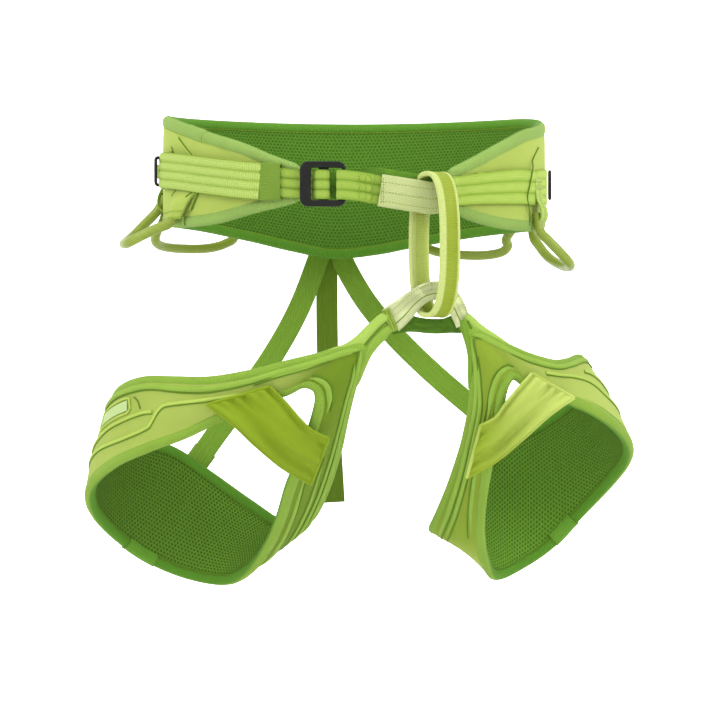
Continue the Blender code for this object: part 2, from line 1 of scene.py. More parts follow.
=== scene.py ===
"""Looks of the climbing sit harness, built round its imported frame.

Frame: +Z up, +X to the right of someone who looks at the front, -Y to the front. Sizes are in metres, and
the tables of places are in millimetres, as in the part's own source.
"""

import json
import math

import bmesh
import bpy
import numpy as np
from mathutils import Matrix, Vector

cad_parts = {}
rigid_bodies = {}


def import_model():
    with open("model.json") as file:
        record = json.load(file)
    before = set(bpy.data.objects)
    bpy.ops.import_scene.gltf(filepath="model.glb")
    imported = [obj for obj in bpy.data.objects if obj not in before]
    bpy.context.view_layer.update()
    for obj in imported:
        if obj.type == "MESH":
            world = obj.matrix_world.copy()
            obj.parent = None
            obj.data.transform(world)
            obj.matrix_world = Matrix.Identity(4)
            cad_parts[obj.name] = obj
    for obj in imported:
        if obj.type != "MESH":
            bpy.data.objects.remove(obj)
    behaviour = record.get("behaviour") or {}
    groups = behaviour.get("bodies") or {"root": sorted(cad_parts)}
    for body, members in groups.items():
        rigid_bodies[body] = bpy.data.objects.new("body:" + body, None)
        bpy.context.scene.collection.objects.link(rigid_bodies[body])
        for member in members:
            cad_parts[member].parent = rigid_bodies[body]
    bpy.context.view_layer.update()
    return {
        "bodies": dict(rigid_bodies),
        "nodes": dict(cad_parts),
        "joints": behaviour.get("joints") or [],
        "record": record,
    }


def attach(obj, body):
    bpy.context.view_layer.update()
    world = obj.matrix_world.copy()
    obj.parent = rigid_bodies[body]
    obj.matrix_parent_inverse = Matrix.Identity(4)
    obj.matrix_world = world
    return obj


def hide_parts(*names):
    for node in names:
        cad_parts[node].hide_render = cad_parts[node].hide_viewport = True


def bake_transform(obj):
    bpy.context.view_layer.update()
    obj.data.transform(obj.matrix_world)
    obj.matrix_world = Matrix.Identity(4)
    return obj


MM = 0.001
UP = Vector((0, 0, 1))

# ---------------------------------------------------------------- the harness's own sizes
WAIST_HALF_WIDTH = 144 * MM
WAIST_HALF_DEPTH = 95 * MM
LEFT_TIP_DEG = -163
RIGHT_TIP_DEG = 150
PAD_FACE = 7.2 * MM  # from the lining's inner face to the foam's outer face
SHELL_FACE = 8.7 * MM
LOAD_WEB_OFFSET = 9.7 * MM
SLEEVE_OFFSET = 15.0 * MM
BINDING_OFFSET = 4.3 * MM

LEG_PAD_THICK = 4.5 * MM
LEG_SHELL_INSIDE = 2.2 * MM
LEG_SHELL_FACE = 3.8 * MM
LEG_CROWN = 2 * MM
LEG_CLOTH_WIDTH = 62 * MM

UPPER_RIM = [(-163, 4), (-155, 11), (-145, 21), (-132, 30), (-118, 39), (-104, 46), (-90, 50), (-60, 53),
             (0, 53), (60, 53), (80, 50), (92, 46), (104, 41), (117, 36), (127, 28), (135, 20), (143, 11),
             (150, 3)]
LOWER_RIM = [(-163, -19), (-150, -27), (-135, -36), (-115, -38), (-90, -35), (-60, -36), (-37, -43),
             (-21, -51), (-7, -57), (7, -54), (20, -48), (40, -41), (60, -38), (90, -38), (115, -41),
             (127, -40), (135, -37), (143, -32), (150, -25)]
WEB_LINE = [(-163, -7), (-150, -5), (-134, 0), (-118, 5), (-102, 8), (-84, 8), (-50, 3), (0, 0), (90, -4),
            (118, -7), (150, -10)]
FRONT_LEVEL = [(-130, -2), (-95, -3), (-70, -5), (-40, -8), (-5, -9), (20, -12.5), (50, -17), (62, -18),
               (78, -13), (100, -10), (130, -7)]

# Leg bands: matching points on the upper and lower rim, in mm, from the crotch peak round the outside.
LEFT_LEG = [
    ((6, -103, -132), (-29, -104, -163)), ((-7, -104, -134), (-39, -104, -160)),
    ((-27, -104, -140), (-52, -104, -166)), ((-52, -103, -146), (-70, -102, -171)),
    ((-79, -100, -153), (-87, -99, -179)), ((-110, -92, -158), (-105, -95, -187)),
    ((-138, -80, -158), (-130, -90, -199)), ((-162, -63, -158), (-157, -80, -209)),
    ((-182, -38, -165), (-186, -52, -222)), ((-192, -5, -179), (-208, -15, -240)),
    ((-191, 30, -195), (-212, 18, -260)), ((-176, 60, -208), (-200, 48, -281)),
    ((-149, 79, -218), (-173, 70, -304)), ((-120, 86, -238), (-140, 76, -319)),
    ((-88, 78, -260), (-106, 66, -324)), ((-58, 55, -277), (-85, 42, -313)),
    ((-37, 22, -271), (-69, 10, -291)), ((-23, -10, -245), (-58, -25, -267)),
    ((-13, -40, -213), (-49, -62, -239)), ((-7, -65, -185), (-37, -88, -211)),
    ((-1, -82, -161), (-28, -100, -184)), ((5, -96, -143), (-26, -103, -171)),
]
RIGHT_LEG = [
    ((89, -99, -121), (118, -99, -156)), ((100, -98, -124), (124, -98, -154)),
    ((118, -94, -133), (134, -97, -161)), ((135, -86, -140), (146, -94, -166)),
    ((154, -70, -145), (158, -90, -170)), ((167, -50, -144), (169, -85, -174)),
    ((178, -22, -141), (187, -72, -182)), ((185, 8, -147), (205, -48, -194)),
    ((190, 35, -158), (218, -14, -208)), ((185, 58, -172), (220, 18, -223)),
    ((172, 74, -185), (209, 45, -242)), ((152, 84, -198), (188, 66, -267)),
    ((129, 85, -211), (162, 74, -295)), ((106, 74, -232), (135, 64, -312)),
    ((85, 52, -254), (115, 42, -318)), ((69, 27, -272), (106, 14, -305)),
    ((63, 2, -277), (101, -10, -285)), ((70, -22, -259), (100, -36, -262)),
    ((79, -45, -233), (102, -60, -237)), ((87, -64, -204), (106, -82, -211)),
    ((92, -80, -173), (111, -92, -186)), ((92, -92, -143), (113, -97, -168)),
]
LEFT_PANEL = [((-64, -111, -162), (-112, -103, -176)), ((-52, -111.5, -174), (-92, -107, -191)),
              ((-40, -110, -188), (-73, -103, -209)), ((-31, -107, -196), (-54, -93, -225)),
              ((-19, -102, -202), (-33, -80.5, -238))]
RIGHT_PANEL = [((136, -103, -152), (169, -93, -171)), ((126, -104.5, -163), (150, -99, -184)),
               ((116, -104.5, -175), (129, -97, -203)), ((108, -102, -186), (108, -86, -221)),
               ((97, -97.5, -192), (87.5, -76, -233))]

GEAR_LOOPS = {
    "gear_front_left": [(-144, -52, -35), (-153, -53, -39), (-166, -51, -45), (-177, -42, -50),
                        (-182, -22, -50), (-183, 0, -48), (-178, 16, -42), (-169, 23, -32), (-159, 25, -21)],
    "gear_rear_left": [(-156, 33, -32), (-160, 36, -37), (-162, 44, -45), (-156, 58, -49), (-140, 77, -50),
                       (-122, 90, -49), (-108, 97, -45), (-100, 98, -38)],
    "gear_front_right": [(146, -44, -41), (152, -46, -48), (161, -44, -57), (169, -36, -65),
                         (171, -18, -68), (166, 4, -66), (157, 22, -59), (150, 34, -49), (146, 42, -41)],
    "gear_rear_right": [(126, 71, -41), (127, 74, -48), (121, 80, -53), (106, 89, -55), (86, 97, -54),
                        (68, 103, -51), (58, 106, -46), (57, 105, -40)],
}
GEAR_TABS = {"left_front": -108, "left_middle": -78, "left_rear": -44, "right_rear": 26, "right_middle": 66,
             "right_front": 110.5}
RISERS = {
    "left": [(-25, 113.2, -40), (-30, 113, -56), (-46, 104, -98), (-66, 99, -135), (-92, 96, -173),
             (-118, 95, -208), (-134, 94.5, -232)],
    "right": [(-15, 116, -40), (-9, 115.6, -60), (10, 107, -93), (36, 103, -124), (68, 99, -155),
              (102, 96, -184), (123, 94.5, -203)],
}
RISER_TABS = {
    "left": [(-124, 97.2, -217), (-134, 97, -231), (-144, 92, -247)],
    "right": [(112, 97.8, -193), (123, 97, -203), (140, 92.5, -220)],
}


# ---------------------------------------------------------------- curves
def table(rows, at):
    """The value of a smooth curve through (place, value) rows at a place."""
    last = len(rows) - 1
    k = next((i for i in range(last) if at <= rows[i + 1][0]), last - 1)
    (p1, v1), (p2, v2) = rows[k], rows[k + 1]
    p0, v0 = rows[max(k - 1, 0)]
    p3, v3 = rows[min(k + 2, last)]
    span = p2 - p1
    t = min(max((at - p1) / span, 0), 1)
    m1 = (v2 - v0) / (p2 - p0) * span
    m2 = (v3 - v1) / (p3 - p1) * span
    return ((2 * t**3 - 3 * t**2 + 1) * v1 + (t**3 - 2 * t**2 + t) * m1
            + (3 * t**2 - 2 * t**3) * v2 + (t**3 - t**2) * m2)


def spline(points, steps, closed=False):
    """Points on a Catmull-Rom curve, with this many steps between each two given points."""
    points = [Vector(p) for p in points]
    count = len(points)
    out = []
    for i in range(count if closed else count - 1):
        if closed:
            p0, p1, p2, p3 = (points[(i + d) % count] for d in (-1, 0, 1, 2))
        else:
            p0, p1, p2, p3 = (points[min(max(i + d, 0), count - 1)] for d in (-1, 0, 1, 2))
        for s in range(steps):
            t = s / steps
            out.append(0.5 * (2 * p1 + (p2 - p0) * t + (2 * p0 - 5 * p1 + 4 * p2 - p3) * t * t
                              + (3 * p1 - p0 - 3 * p2 + p3) * t**3))
    if not closed:
        out.append(points[-1])
    return out


def mm(points):
    return [Vector(p) * MM for p in points]


def tangents(points, closed=False):
    count = len(points)
    found = []
    for i in range(count):
        before = points[(i - 1) % count] if closed else points[max(i - 1, 0)]
        after = points[(i + 1) % count] if closed else points[min(i + 1, count - 1)]
        found.append((after - before).normalized())
    return found


def reach(points, closed=False):
    """The distance along a line at each of its points, and at its end once more if it closes."""
    walked = [0.0]
    for a, b in zip(points, points[1:] + (points[:1] if closed else [])):
        walked.append(walked[-1] + (b - a).length)
    return walked


def smooth(value):
    value = min(max(value, 0.0), 1.0)
    return value * value * (3 - 2 * value)


def tapered(i, last, least, steps):
    """A cord's share of its full size at point i: least at both ends, and full this many steps in."""
    return least + (1 - least) * smooth(min(i, last - i) / steps)


# ---------------------------------------------------------------- meshes
def finish_mesh(name, verts, faces, marks, look, crease_deg=50):
    """An object from points and faces, with its weave map, one (along, across) pair for each face corner."""
    mesh = bpy.data.meshes.new(name)
    mesh.from_pydata([tuple(v) for v in verts], [], faces)
    layer = mesh.uv_layers.new(name="weave")
    layer.data.foreach_set("uv", np.array(marks, np.float32).ravel())
    shape = bmesh.new()
    shape.from_mesh(mesh)
    bmesh.ops.recalc_face_normals(shape, faces=shape.faces)
    shape.to_mesh(mesh)
    shape.free()
    mesh.shade_smooth()
    mesh.set_sharp_from_angle(angle=math.radians(crease_deg))
    mesh.materials.append(look)
    made = bpy.data.objects.new(name, mesh)
    bpy.context.scene.collection.objects.link(made)
    return made


def skin_parts(rings, closed, across, first=0):
    """Points, faces and weave marks of a surface through closed cross-sections."""
    count, around = len(rings), len(rings[0])
    middles = [sum(ring, Vector()) / around for ring in rings]
    along = reach(middles, closed)
    if across is None:
        across = reach(rings[0], True)
    verts = [p for ring in rings for p in ring]
    faces, marks = [], []
    for i in range(count if closed else count - 1):
        n = (i + 1) % count
        for j in range(around):
            k = (j + 1) % around
            corners = (i * around + j, i * around + k, n * around + k, n * around + j)
            faces.append(tuple(first + corner for corner in corners))
            marks += [(along[i], across[j]), (along[i], across[j + 1]), (along[i + 1], across[j + 1]),
                      (along[i + 1], across[j])]
    if not closed:
        for end, place in ((0, 0), (count - 1, count - 1)):
            faces.append(tuple(first + end * around + j for j in range(around)))
            marks += [(along[place], across[j]) for j in range(around)]
    return verts, faces, marks


def skin(name, rings, look, closed=False, across=None):
    return finish_mesh(name, *skin_parts(rings, closed, across), look)


def skins(name, many, look, across=None):
    """One object from several open surfaces, each a list of closed cross-sections."""
    verts, faces, marks = [], [], []
    for rings in many:
        v, f, m = skin_parts(rings, False, across, len(verts))
        verts += v
        faces += f
        marks += m
    return finish_mesh(name, verts, faces, marks, look)


def round_rings(path, radius, sides=8, closed=False, flat=1.0, face=None):
    """Cross-sections of a cord: round, or flattened against the direction face."""
    rings = []
    up = Vector((0.1, 0.2, 1))
    for i, (point, along) in enumerate(zip(path, tangents(path, closed))):
        up = face[i] if face else up
        up = (up - along * up.dot(along)).normalized()
        side = along.cross(up)
        size = radius(i) if callable(radius) else radius
        turn = [2 * math.pi * k / sides for k in range(sides)]
        rings.append([point + (side * math.cos(a) + up * math.sin(a) * flat) * size for a in turn])
    return rings


def dashes(points, pitch, length):
    """Stitches along a line: (start, end) pairs of equal length at an equal pitch."""
    walked = reach(points)
    total = walked[-1]
    found, k = [], 0

    def place(distance):
        nonlocal k
        while k < len(walked) - 2 and walked[k + 1] < distance:
            k += 1
        span = max(walked[k + 1] - walked[k], 1e-9)
        return points[k].lerp(points[k + 1], min(max((distance - walked[k]) / span, 0), 1))

    at = (total % pitch) / 2
    while at + length <= total:
        found.append((place(at), place(at + length)))
        at += pitch
    return found


def thread(name, stitches, radius, look):
    """Sewn thread: a short spindle for each (start, end) pair."""
    shares = ((0.0, 0.45), (0.18, 1.0), (0.82, 1.0), (1.0, 0.45))
    ring = [(radius * math.cos(a), radius * math.sin(a)) for a in (2 * math.pi * k / 5 for k in range(5))]
    many = []
    for start, end in stitches:
        along = (end - start).normalized()
        side = along.orthogonal().normalized()
        up = along.cross(side)
        many.append([[start.lerp(end, t) + (side * c + up * s) * r for c, s in ring] for t, r in shares])
    return skins(name, many, look)


def zigzag(corner, along, across, length, width, turns):
    """A bar tack: stitches back and forth across a small area."""
    found = []
    for k in range(turns):
        a = corner + along * (length * k / turns)
        b = corner + along * (length * (k + 0.5) / turns) + across * width
        c = corner + along * (length * (k + 1) / turns)
        found += [(a, b), (b, c)]
    return found


class Track:
    """A path with a direction for its width at each point: the line that webbing follows."""

    def __init__(self, points, widths, steps=4, closed=False):
        self.closed = closed
        self.points = spline(points, steps, closed)
        self.frames = []
        for along, across in zip(tangents(self.points, closed), spline(widths, steps, closed)):
            side = (across - along * across.dot(along)).normalized()
            self.frames.append((along, side, along.cross(side).normalized()))
        self.walked = reach(self.points, closed)

    def rings(self, profile, scale=None):
        made = []
        for i, (point, (_, side, face)) in enumerate(zip(self.points, self.frames)):
            w, t = scale(self.walked[i] / self.walked[-1]) if scale else (1, 1)
            made.append([point + side * x * w + face * y * t for x, y, _ in profile])
        return made

    def line(self, across, out, start=0.0, end=1.0):
        """Points of a line at this place across the webbing and this far out of its middle."""
        total = self.walked[-1]
        return [point + side * across + face * out for point, (_, side, face), d
                in zip(self.points, self.frames, self.walked) if start * total <= d <= end * total]

    def nearest(self, share):
        at = share * self.walked[-1]
        k = min(range(len(self.points)), key=lambda i: abs(self.walked[i] - at))
        return self.points[k], self.frames[k]


def webbing_profile(width, thick, ribs, depth, steps=6, edge=0.55):
    """(across, out, rib number) points round flat webbing with lengthwise ribs and softened edges."""
    count = ribs * steps
    face = []
    for k in range(count + 1):
        share = k / count
        groove = depth * (1 - abs(math.sin(math.pi * ribs * share))) ** 1.6
        if k in (0, count):
            groove = thick / 2 * edge
        face.append((width * (share - 0.5), thick / 2 - groove, share * ribs))
    return face[::-1] + [(x, -y, v) for x, y, v in face]


def strap(name, track, profile, look, scale=None):
    marks = [v for _, _, v in profile]
    return skin(name, track.rings(profile, scale), look, track.closed, marks + marks[:1])


# ---------------------------------------------------------------- materials
class Cloth:
    """A material's node tree, with short calls for the sums that its pattern is made of."""

    def __init__(self, name, roughness=0.8, sheen=0.0):
        self.material = bpy.data.materials.new(name)
        self.material.use_nodes = True
        self.nodes, self.links = self.material.node_tree.nodes, self.material.node_tree.links
        self.shader = self.nodes["Principled BSDF"]
        self.shader.inputs["Roughness"].default_value = roughness
        self.shader.inputs["Sheen Weight"].default_value = sheen
        self.shader.inputs["Sheen Roughness"].default_value = 0.5
        self.shader.inputs["Sheen Tint"].default_value = (0.75, 0.9, 0.3, 1)
        self.shader.inputs["Specular IOR Level"].default_value = 0.15
        uv = self.nodes.new("ShaderNodeUVMap")
        uv.uv_map = "weave"
        split = self.nodes.new("ShaderNodeSeparateXYZ")
        self.links.new(uv.outputs["UV"], split.inputs[0])
        self.along, self.across = split.outputs["X"], split.outputs["Y"]
        self.place = self.nodes.new("ShaderNodeTexCoord").outputs["Object"]

    def feed(self, socket, value):
        if isinstance(value, bpy.types.NodeSocket):
            self.links.new(value, socket)
        elif isinstance(value, tuple):
            socket.default_value = (*value, 1.0)
        else:
            socket.default_value = value

    def math(self, what, a, b=0.0, clamp=False):
        node = self.nodes.new("ShaderNodeMath")
        node.operation, node.use_clamp = what, clamp
        self.feed(node.inputs[0], a)
        self.feed(node.inputs[1], b)
        return node.outputs[0]

    def rise(self, value, start, steepness):
        """From 0 where the value is at its start to 1, this steeply, and flat beyond."""
        return self.math("MULTIPLY", self.math("SUBTRACT", value, start), steepness, clamp=True)

    def wave(self, value, pitch):
        """A soft ridge every pitch."""
        turned = self.math("MULTIPLY_ADD", value, 2 * math.pi / pitch)
        turned.node.inputs[2].default_value = 0
        swing = self.math("MULTIPLY_ADD", self.math("SINE", turned), 0.5)
        return self.math("ADD", swing, 0.5)

    def noise(self, scale, detail=2.0, low=0.0, high=1.0):
        """Soft blotches between low and high, at this many to the metre."""
        node = self.nodes.new("ShaderNodeTexNoise")
        self.links.new(self.place, node.inputs["Vector"])
        node.inputs["Scale"].default_value = scale
        node.inputs["Detail"].default_value = detail
        spread = self.nodes.new("ShaderNodeMapRange")
        self.links.new(node.outputs["Fac"], spread.inputs["Value"])
        for socket, value in zip(spread.inputs[1:5], (0.3, 0.7, low, high)):
            socket.default_value = value
        return spread.outputs[0]

    def mix(self, share, a, b, how="MIX"):
        """Colour a, turning to b as the share goes from 0 to 1."""
        node = self.nodes.new("ShaderNodeMix")
        node.data_type, node.blend_type = "RGBA", how
        self.feed(node.inputs["Factor"], share)
        self.feed(node.inputs["A"], a)
        self.feed(node.inputs["B"], b)
        return node.outputs["Result"]

    def finish(self, colour, height=None, depth=0.2 * MM, strength=1.0):
        self.feed(self.shader.inputs["Base Color"], colour)
        if height is not None:
            bump = self.nodes.new("ShaderNodeBump")
            bump.inputs["Distance"].default_value = depth
            bump.inputs["Strength"].default_value = strength
            self.links.new(height, bump.inputs["Height"])
            self.links.new(bump.outputs["Normal"], self.shader.inputs["Normal"])
        return self.material


def shaded(colour, share):
    return tuple(c * share for c in colour)


def webbing_look(name, light, groove, weft=0.95 * MM, depth=0.25 * MM, sheen=0.1, further=None):
    """Woven webbing: ribs numbered by the weave map, crossed by fine weft lines. further gives the pair of
    colours it fades to, and how far along it does."""
    c = Cloth(name, 0.72, sheen)
    weft_line = c.wave(c.along, weft)
    from_middle = c.math("ABSOLUTE", c.math("SUBTRACT", c.math("FRACT", c.across), 0.5))
    # Painted shade in the hollows between the ribs and a painted highlight down each rib's middle: the colour
    # runs from light to the groove colour across each rib.
    groove_shade_share = c.math("POWER", c.math("MULTIPLY", from_middle, 2.0), 3.0)
    colour = c.mix(groove_shade_share, light, groove)
    if further:
        # further serves the tie-in webbing: its first colours are painted shade at the front of the belt, and
        # this ramp fades them to the webbing's own colours.
        there = c.rise(c.along, further[2], 1 / (15 * MM))
        colour = c.mix(there, colour, c.mix(groove_shade_share, further[0], further[1]))
    colour = c.mix(c.math("MULTIPLY", weft_line, 0.3), colour, shaded(groove, 0.9))
    colour = c.mix(c.noise(60, 3, 0, 0.3), colour, shaded(light, 0.78))
    warp = c.wave(c.across, 0.25)
    height = c.math("ADD", weft_line, c.math("MULTIPLY", warp, 0.5))
    return c.finish(colour, height, depth)


def tape_look(name, light, dark, inside, turn=10.5 * MM, pitch=1.7 * MM, depth=0.3 * MM, sheen=0.1):
    """Binding tape: short ribs across its length, and painted shade on the side towards the wearer, where it
    takes a deeper colour.
    """
    c = Cloth(name, 0.75, sheen)
    rib = c.wave(c.along, pitch)
    fine = c.wave(c.across, 0.7 * MM)
    colour = c.mix(c.math("MULTIPLY", c.math("SUBTRACT", 1.0, rib), 0.5), light, dark)
    colour = c.mix(c.noise(45, 3, 0, 0.4), colour, shaded(light, 0.82))
    # The side towards the wearer takes the inside colour: painted shade, the tape being one colour on both
    # faces.
    outside = c.rise(c.across, turn, 1 / (2.5 * MM))
    colour = c.mix(outside, inside, colour)
    return c.finish(colour, c.math("ADD", rib, c.math("MULTIPLY", fine, 0.35)), depth)


def cloth_look(name, light, dark, pitch=0.8 * MM, depth=0.12 * MM, sheen=0.08, roughness=0.75, blotch=25,
               further=None):
    """Plain woven or knitted cloth, its threads crossing in both directions, with soft darker blotches.
    further is its colour 80 mm along."""
    c = Cloth(name, roughness, sheen)
    one, two = c.wave(c.along, pitch), c.wave(c.across, pitch)
    weave = c.math("MULTIPLY", one, two)
    colour = c.mix(c.math("MULTIPLY", weave, 0.3), light, dark)
    colour = c.mix(c.noise(blotch, 3, 0, 0.4), colour, dark)
    if further:
        colour = c.mix(c.math("MULTIPLY", c.along, 12.0, clamp=True), colour, further)
    height = c.math("ADD", weave, c.noise(180, 2, 0, 0.8))
    return c.finish(colour, height, depth)


def leg_shell_look(name, light, deep, turn):
    """Shell cloth with painted shade on the part of the leg band that faces the other leg, where it turns
    deeper.
    """
    c = Cloth(name, 0.75, 0.08)
    one, two = c.wave(c.along, 0.7 * MM), c.wave(c.across, 0.7 * MM)
    weave = c.math("MULTIPLY", one, two)
    after = c.rise(c.along, turn, 1 / (40 * MM))
    before = c.rise(45 * MM, c.along, 1 / (40 * MM))
    # Painted shade: the deep colour near both ends of the band, on its side towards the other leg.
    painted_inner_shade = c.math("ADD", after, before, clamp=True)
    colour = c.mix(painted_inner_shade, light, deep)
    colour = c.mix(c.math("MULTIPLY", weave, 0.25), colour, shaded(deep, 0.8))
    colour = c.mix(c.noise(25, 3, 0, 0.25), colour, deep)
    return c.finish(colour, c.math("ADD", weave, c.noise(180, 2, 0, 0.8)), 0.1 * MM)


def mesh_look(name, light, hole, painted_shade_ramp=None, pitch=3.1 * MM, row=2.25 * MM):
    """Spacer mesh: staggered rows of small dark holes in a soft knit. fade gives two places along it, and the
    shares of the light colour that it has before the first and after the second."""
    c = Cloth(name, 0.9, 0.05)
    c.shader.inputs["Specular IOR Level"].default_value = 0.05
    rows = c.math("DIVIDE", c.across, row)
    shift = c.math("MULTIPLY", c.math("FLOORED_MODULO", c.math("FLOOR", rows), 2.0), 0.5)
    x = c.math("SUBTRACT", c.math("FRACT", c.math("ADD", c.math("DIVIDE", c.along, pitch), shift)), 0.5)
    y = c.math("SUBTRACT", c.math("FRACT", rows), 0.5)
    x2 = c.math("POWER", c.math("ABSOLUTE", c.math("MULTIPLY", x, pitch / (0.62 * row))), 2.0)
    y2 = c.math("POWER", c.math("ABSOLUTE", c.math("MULTIPLY", y, 1.9)), 2.0)
    away = c.math("SQRT", c.math("ADD", x2, y2))
    past_rim = c.rise(away, 0.45, 2.6)
    dot = c.math("SUBTRACT", 1.0, past_rim, clamp=True)
    knit = c.wave(c.along, 0.62 * MM)
    colour = c.mix(c.noise(14, 3, 0, 0.35), light, shaded(light, 0.8))
    # A ramp of painted shade along the lining: darker before the first place, lighter past the second.
    if painted_shade_ramp:
        first, last, low, high = painted_shade_ramp
        there = c.rise(c.along, first, 1 / (last - first))
        colour = c.mix(1.0, colour, c.mix(there, (low,) * 3, (high,) * 3), "MULTIPLY")
    colour = c.mix(c.math("MULTIPLY", knit, 0.2), colour, shaded(light, 0.75))
    colour = c.mix(c.math("MULTIPLY", dot, 0.8), colour, hole)
    height = c.math("SUBTRACT", c.math("MULTIPLY", knit, 0.25), dot)
    return c.finish(colour, height, 0.7 * MM)


def solid_look(name, colour, roughness, metallic=0.0, grain=0.05 * MM, grain_scale=900):
    """Moulded plastic or coated metal: fine grain, slight rubbing and an uneven gloss."""
    c = Cloth(name, roughness)
    c.shader.inputs["Metallic"].default_value = metallic
    c.shader.inputs["Specular IOR Level"].default_value = 0.25
    worn = c.mix(c.noise(120, 4, 0, 0.5), colour, tuple(min(v * 1.7 + 0.003, 1) for v in colour))
    c.feed(c.shader.inputs["Roughness"], c.noise(80, 3, roughness - 0.08, roughness + 0.1))
    return c.finish(worn, c.noise(grain_scale, 2), grain)


def rope_look(name, light, dark):
    """A smooth plastic tube over cord, with a faint spiral where the cord inside shows."""
    c = Cloth(name, 0.42)
    c.shader.inputs["Specular IOR Level"].default_value = 0.5
    lay = c.wave(c.math("ADD", c.along, c.math("MULTIPLY", c.across, 0.6)), 5 * MM)
    colour = c.mix(c.math("MULTIPLY", lay, 0.25), light, dark)
    colour = c.mix(c.noise(40, 3, 0, 0.4), colour, dark)
    return c.finish(colour, c.math("ADD", lay, c.noise(300, 2, 0, 0.3)), 0.12 * MM)


def belay_look(name, middle, edge, lit):
    """Load-bearing loop webbing: a dense middle with crosswise ribs, and a pale selvedge on both sides. The
    sewn overlap at the back is paler."""
    c = Cloth(name, 0.7, 0.1)
    rib = c.wave(c.along, 1.25 * MM)
    near = c.rise(0.56, c.across, 9.0)
    far = c.rise(c.across, 1.66, 9.0)
    overlap = c.rise(c.along, 0.14, 40.0)
    colour = c.mix(c.math("ADD", overlap, c.noise(22, 2, 0, 0.35), clamp=True), middle, lit)
    colour = c.mix(c.math("MULTIPLY", c.math("SUBTRACT", 1.0, rib), 0.4), colour, shaded(middle, 0.75))
    colour = c.mix(c.math("ADD", near, far, clamp=True), colour, edge)
    return c.finish(colour, rib, 0.3 * MM)


def elastic_look(name, light, dark, rib=1.5 * MM, further=None):
    """Elastic webbing: lengthwise ribs with a tight knit between them. further is its colour 0.2 m along."""
    c = Cloth(name, 0.8, 0.2)
    ribs = c.wave(c.across, rib)
    knit = c.wave(c.along, 0.9 * MM)
    colour = c.mix(c.math("MULTIPLY", c.math("SUBTRACT", 1.0, ribs), 0.5), light, dark)
    colour = c.mix(c.noise(30, 3, 0, 0.4), colour, dark)
    # further serves the riser tail: painted light and shade that evens out how light falls along it.
    if further:
        colour = c.mix(c.math("MULTIPLY", c.along, 5.0, clamp=True), colour, further)
    return c.finish(colour, c.math("ADD", ribs, c.math("MULTIPLY", knit, 0.4)), 0.25 * MM)


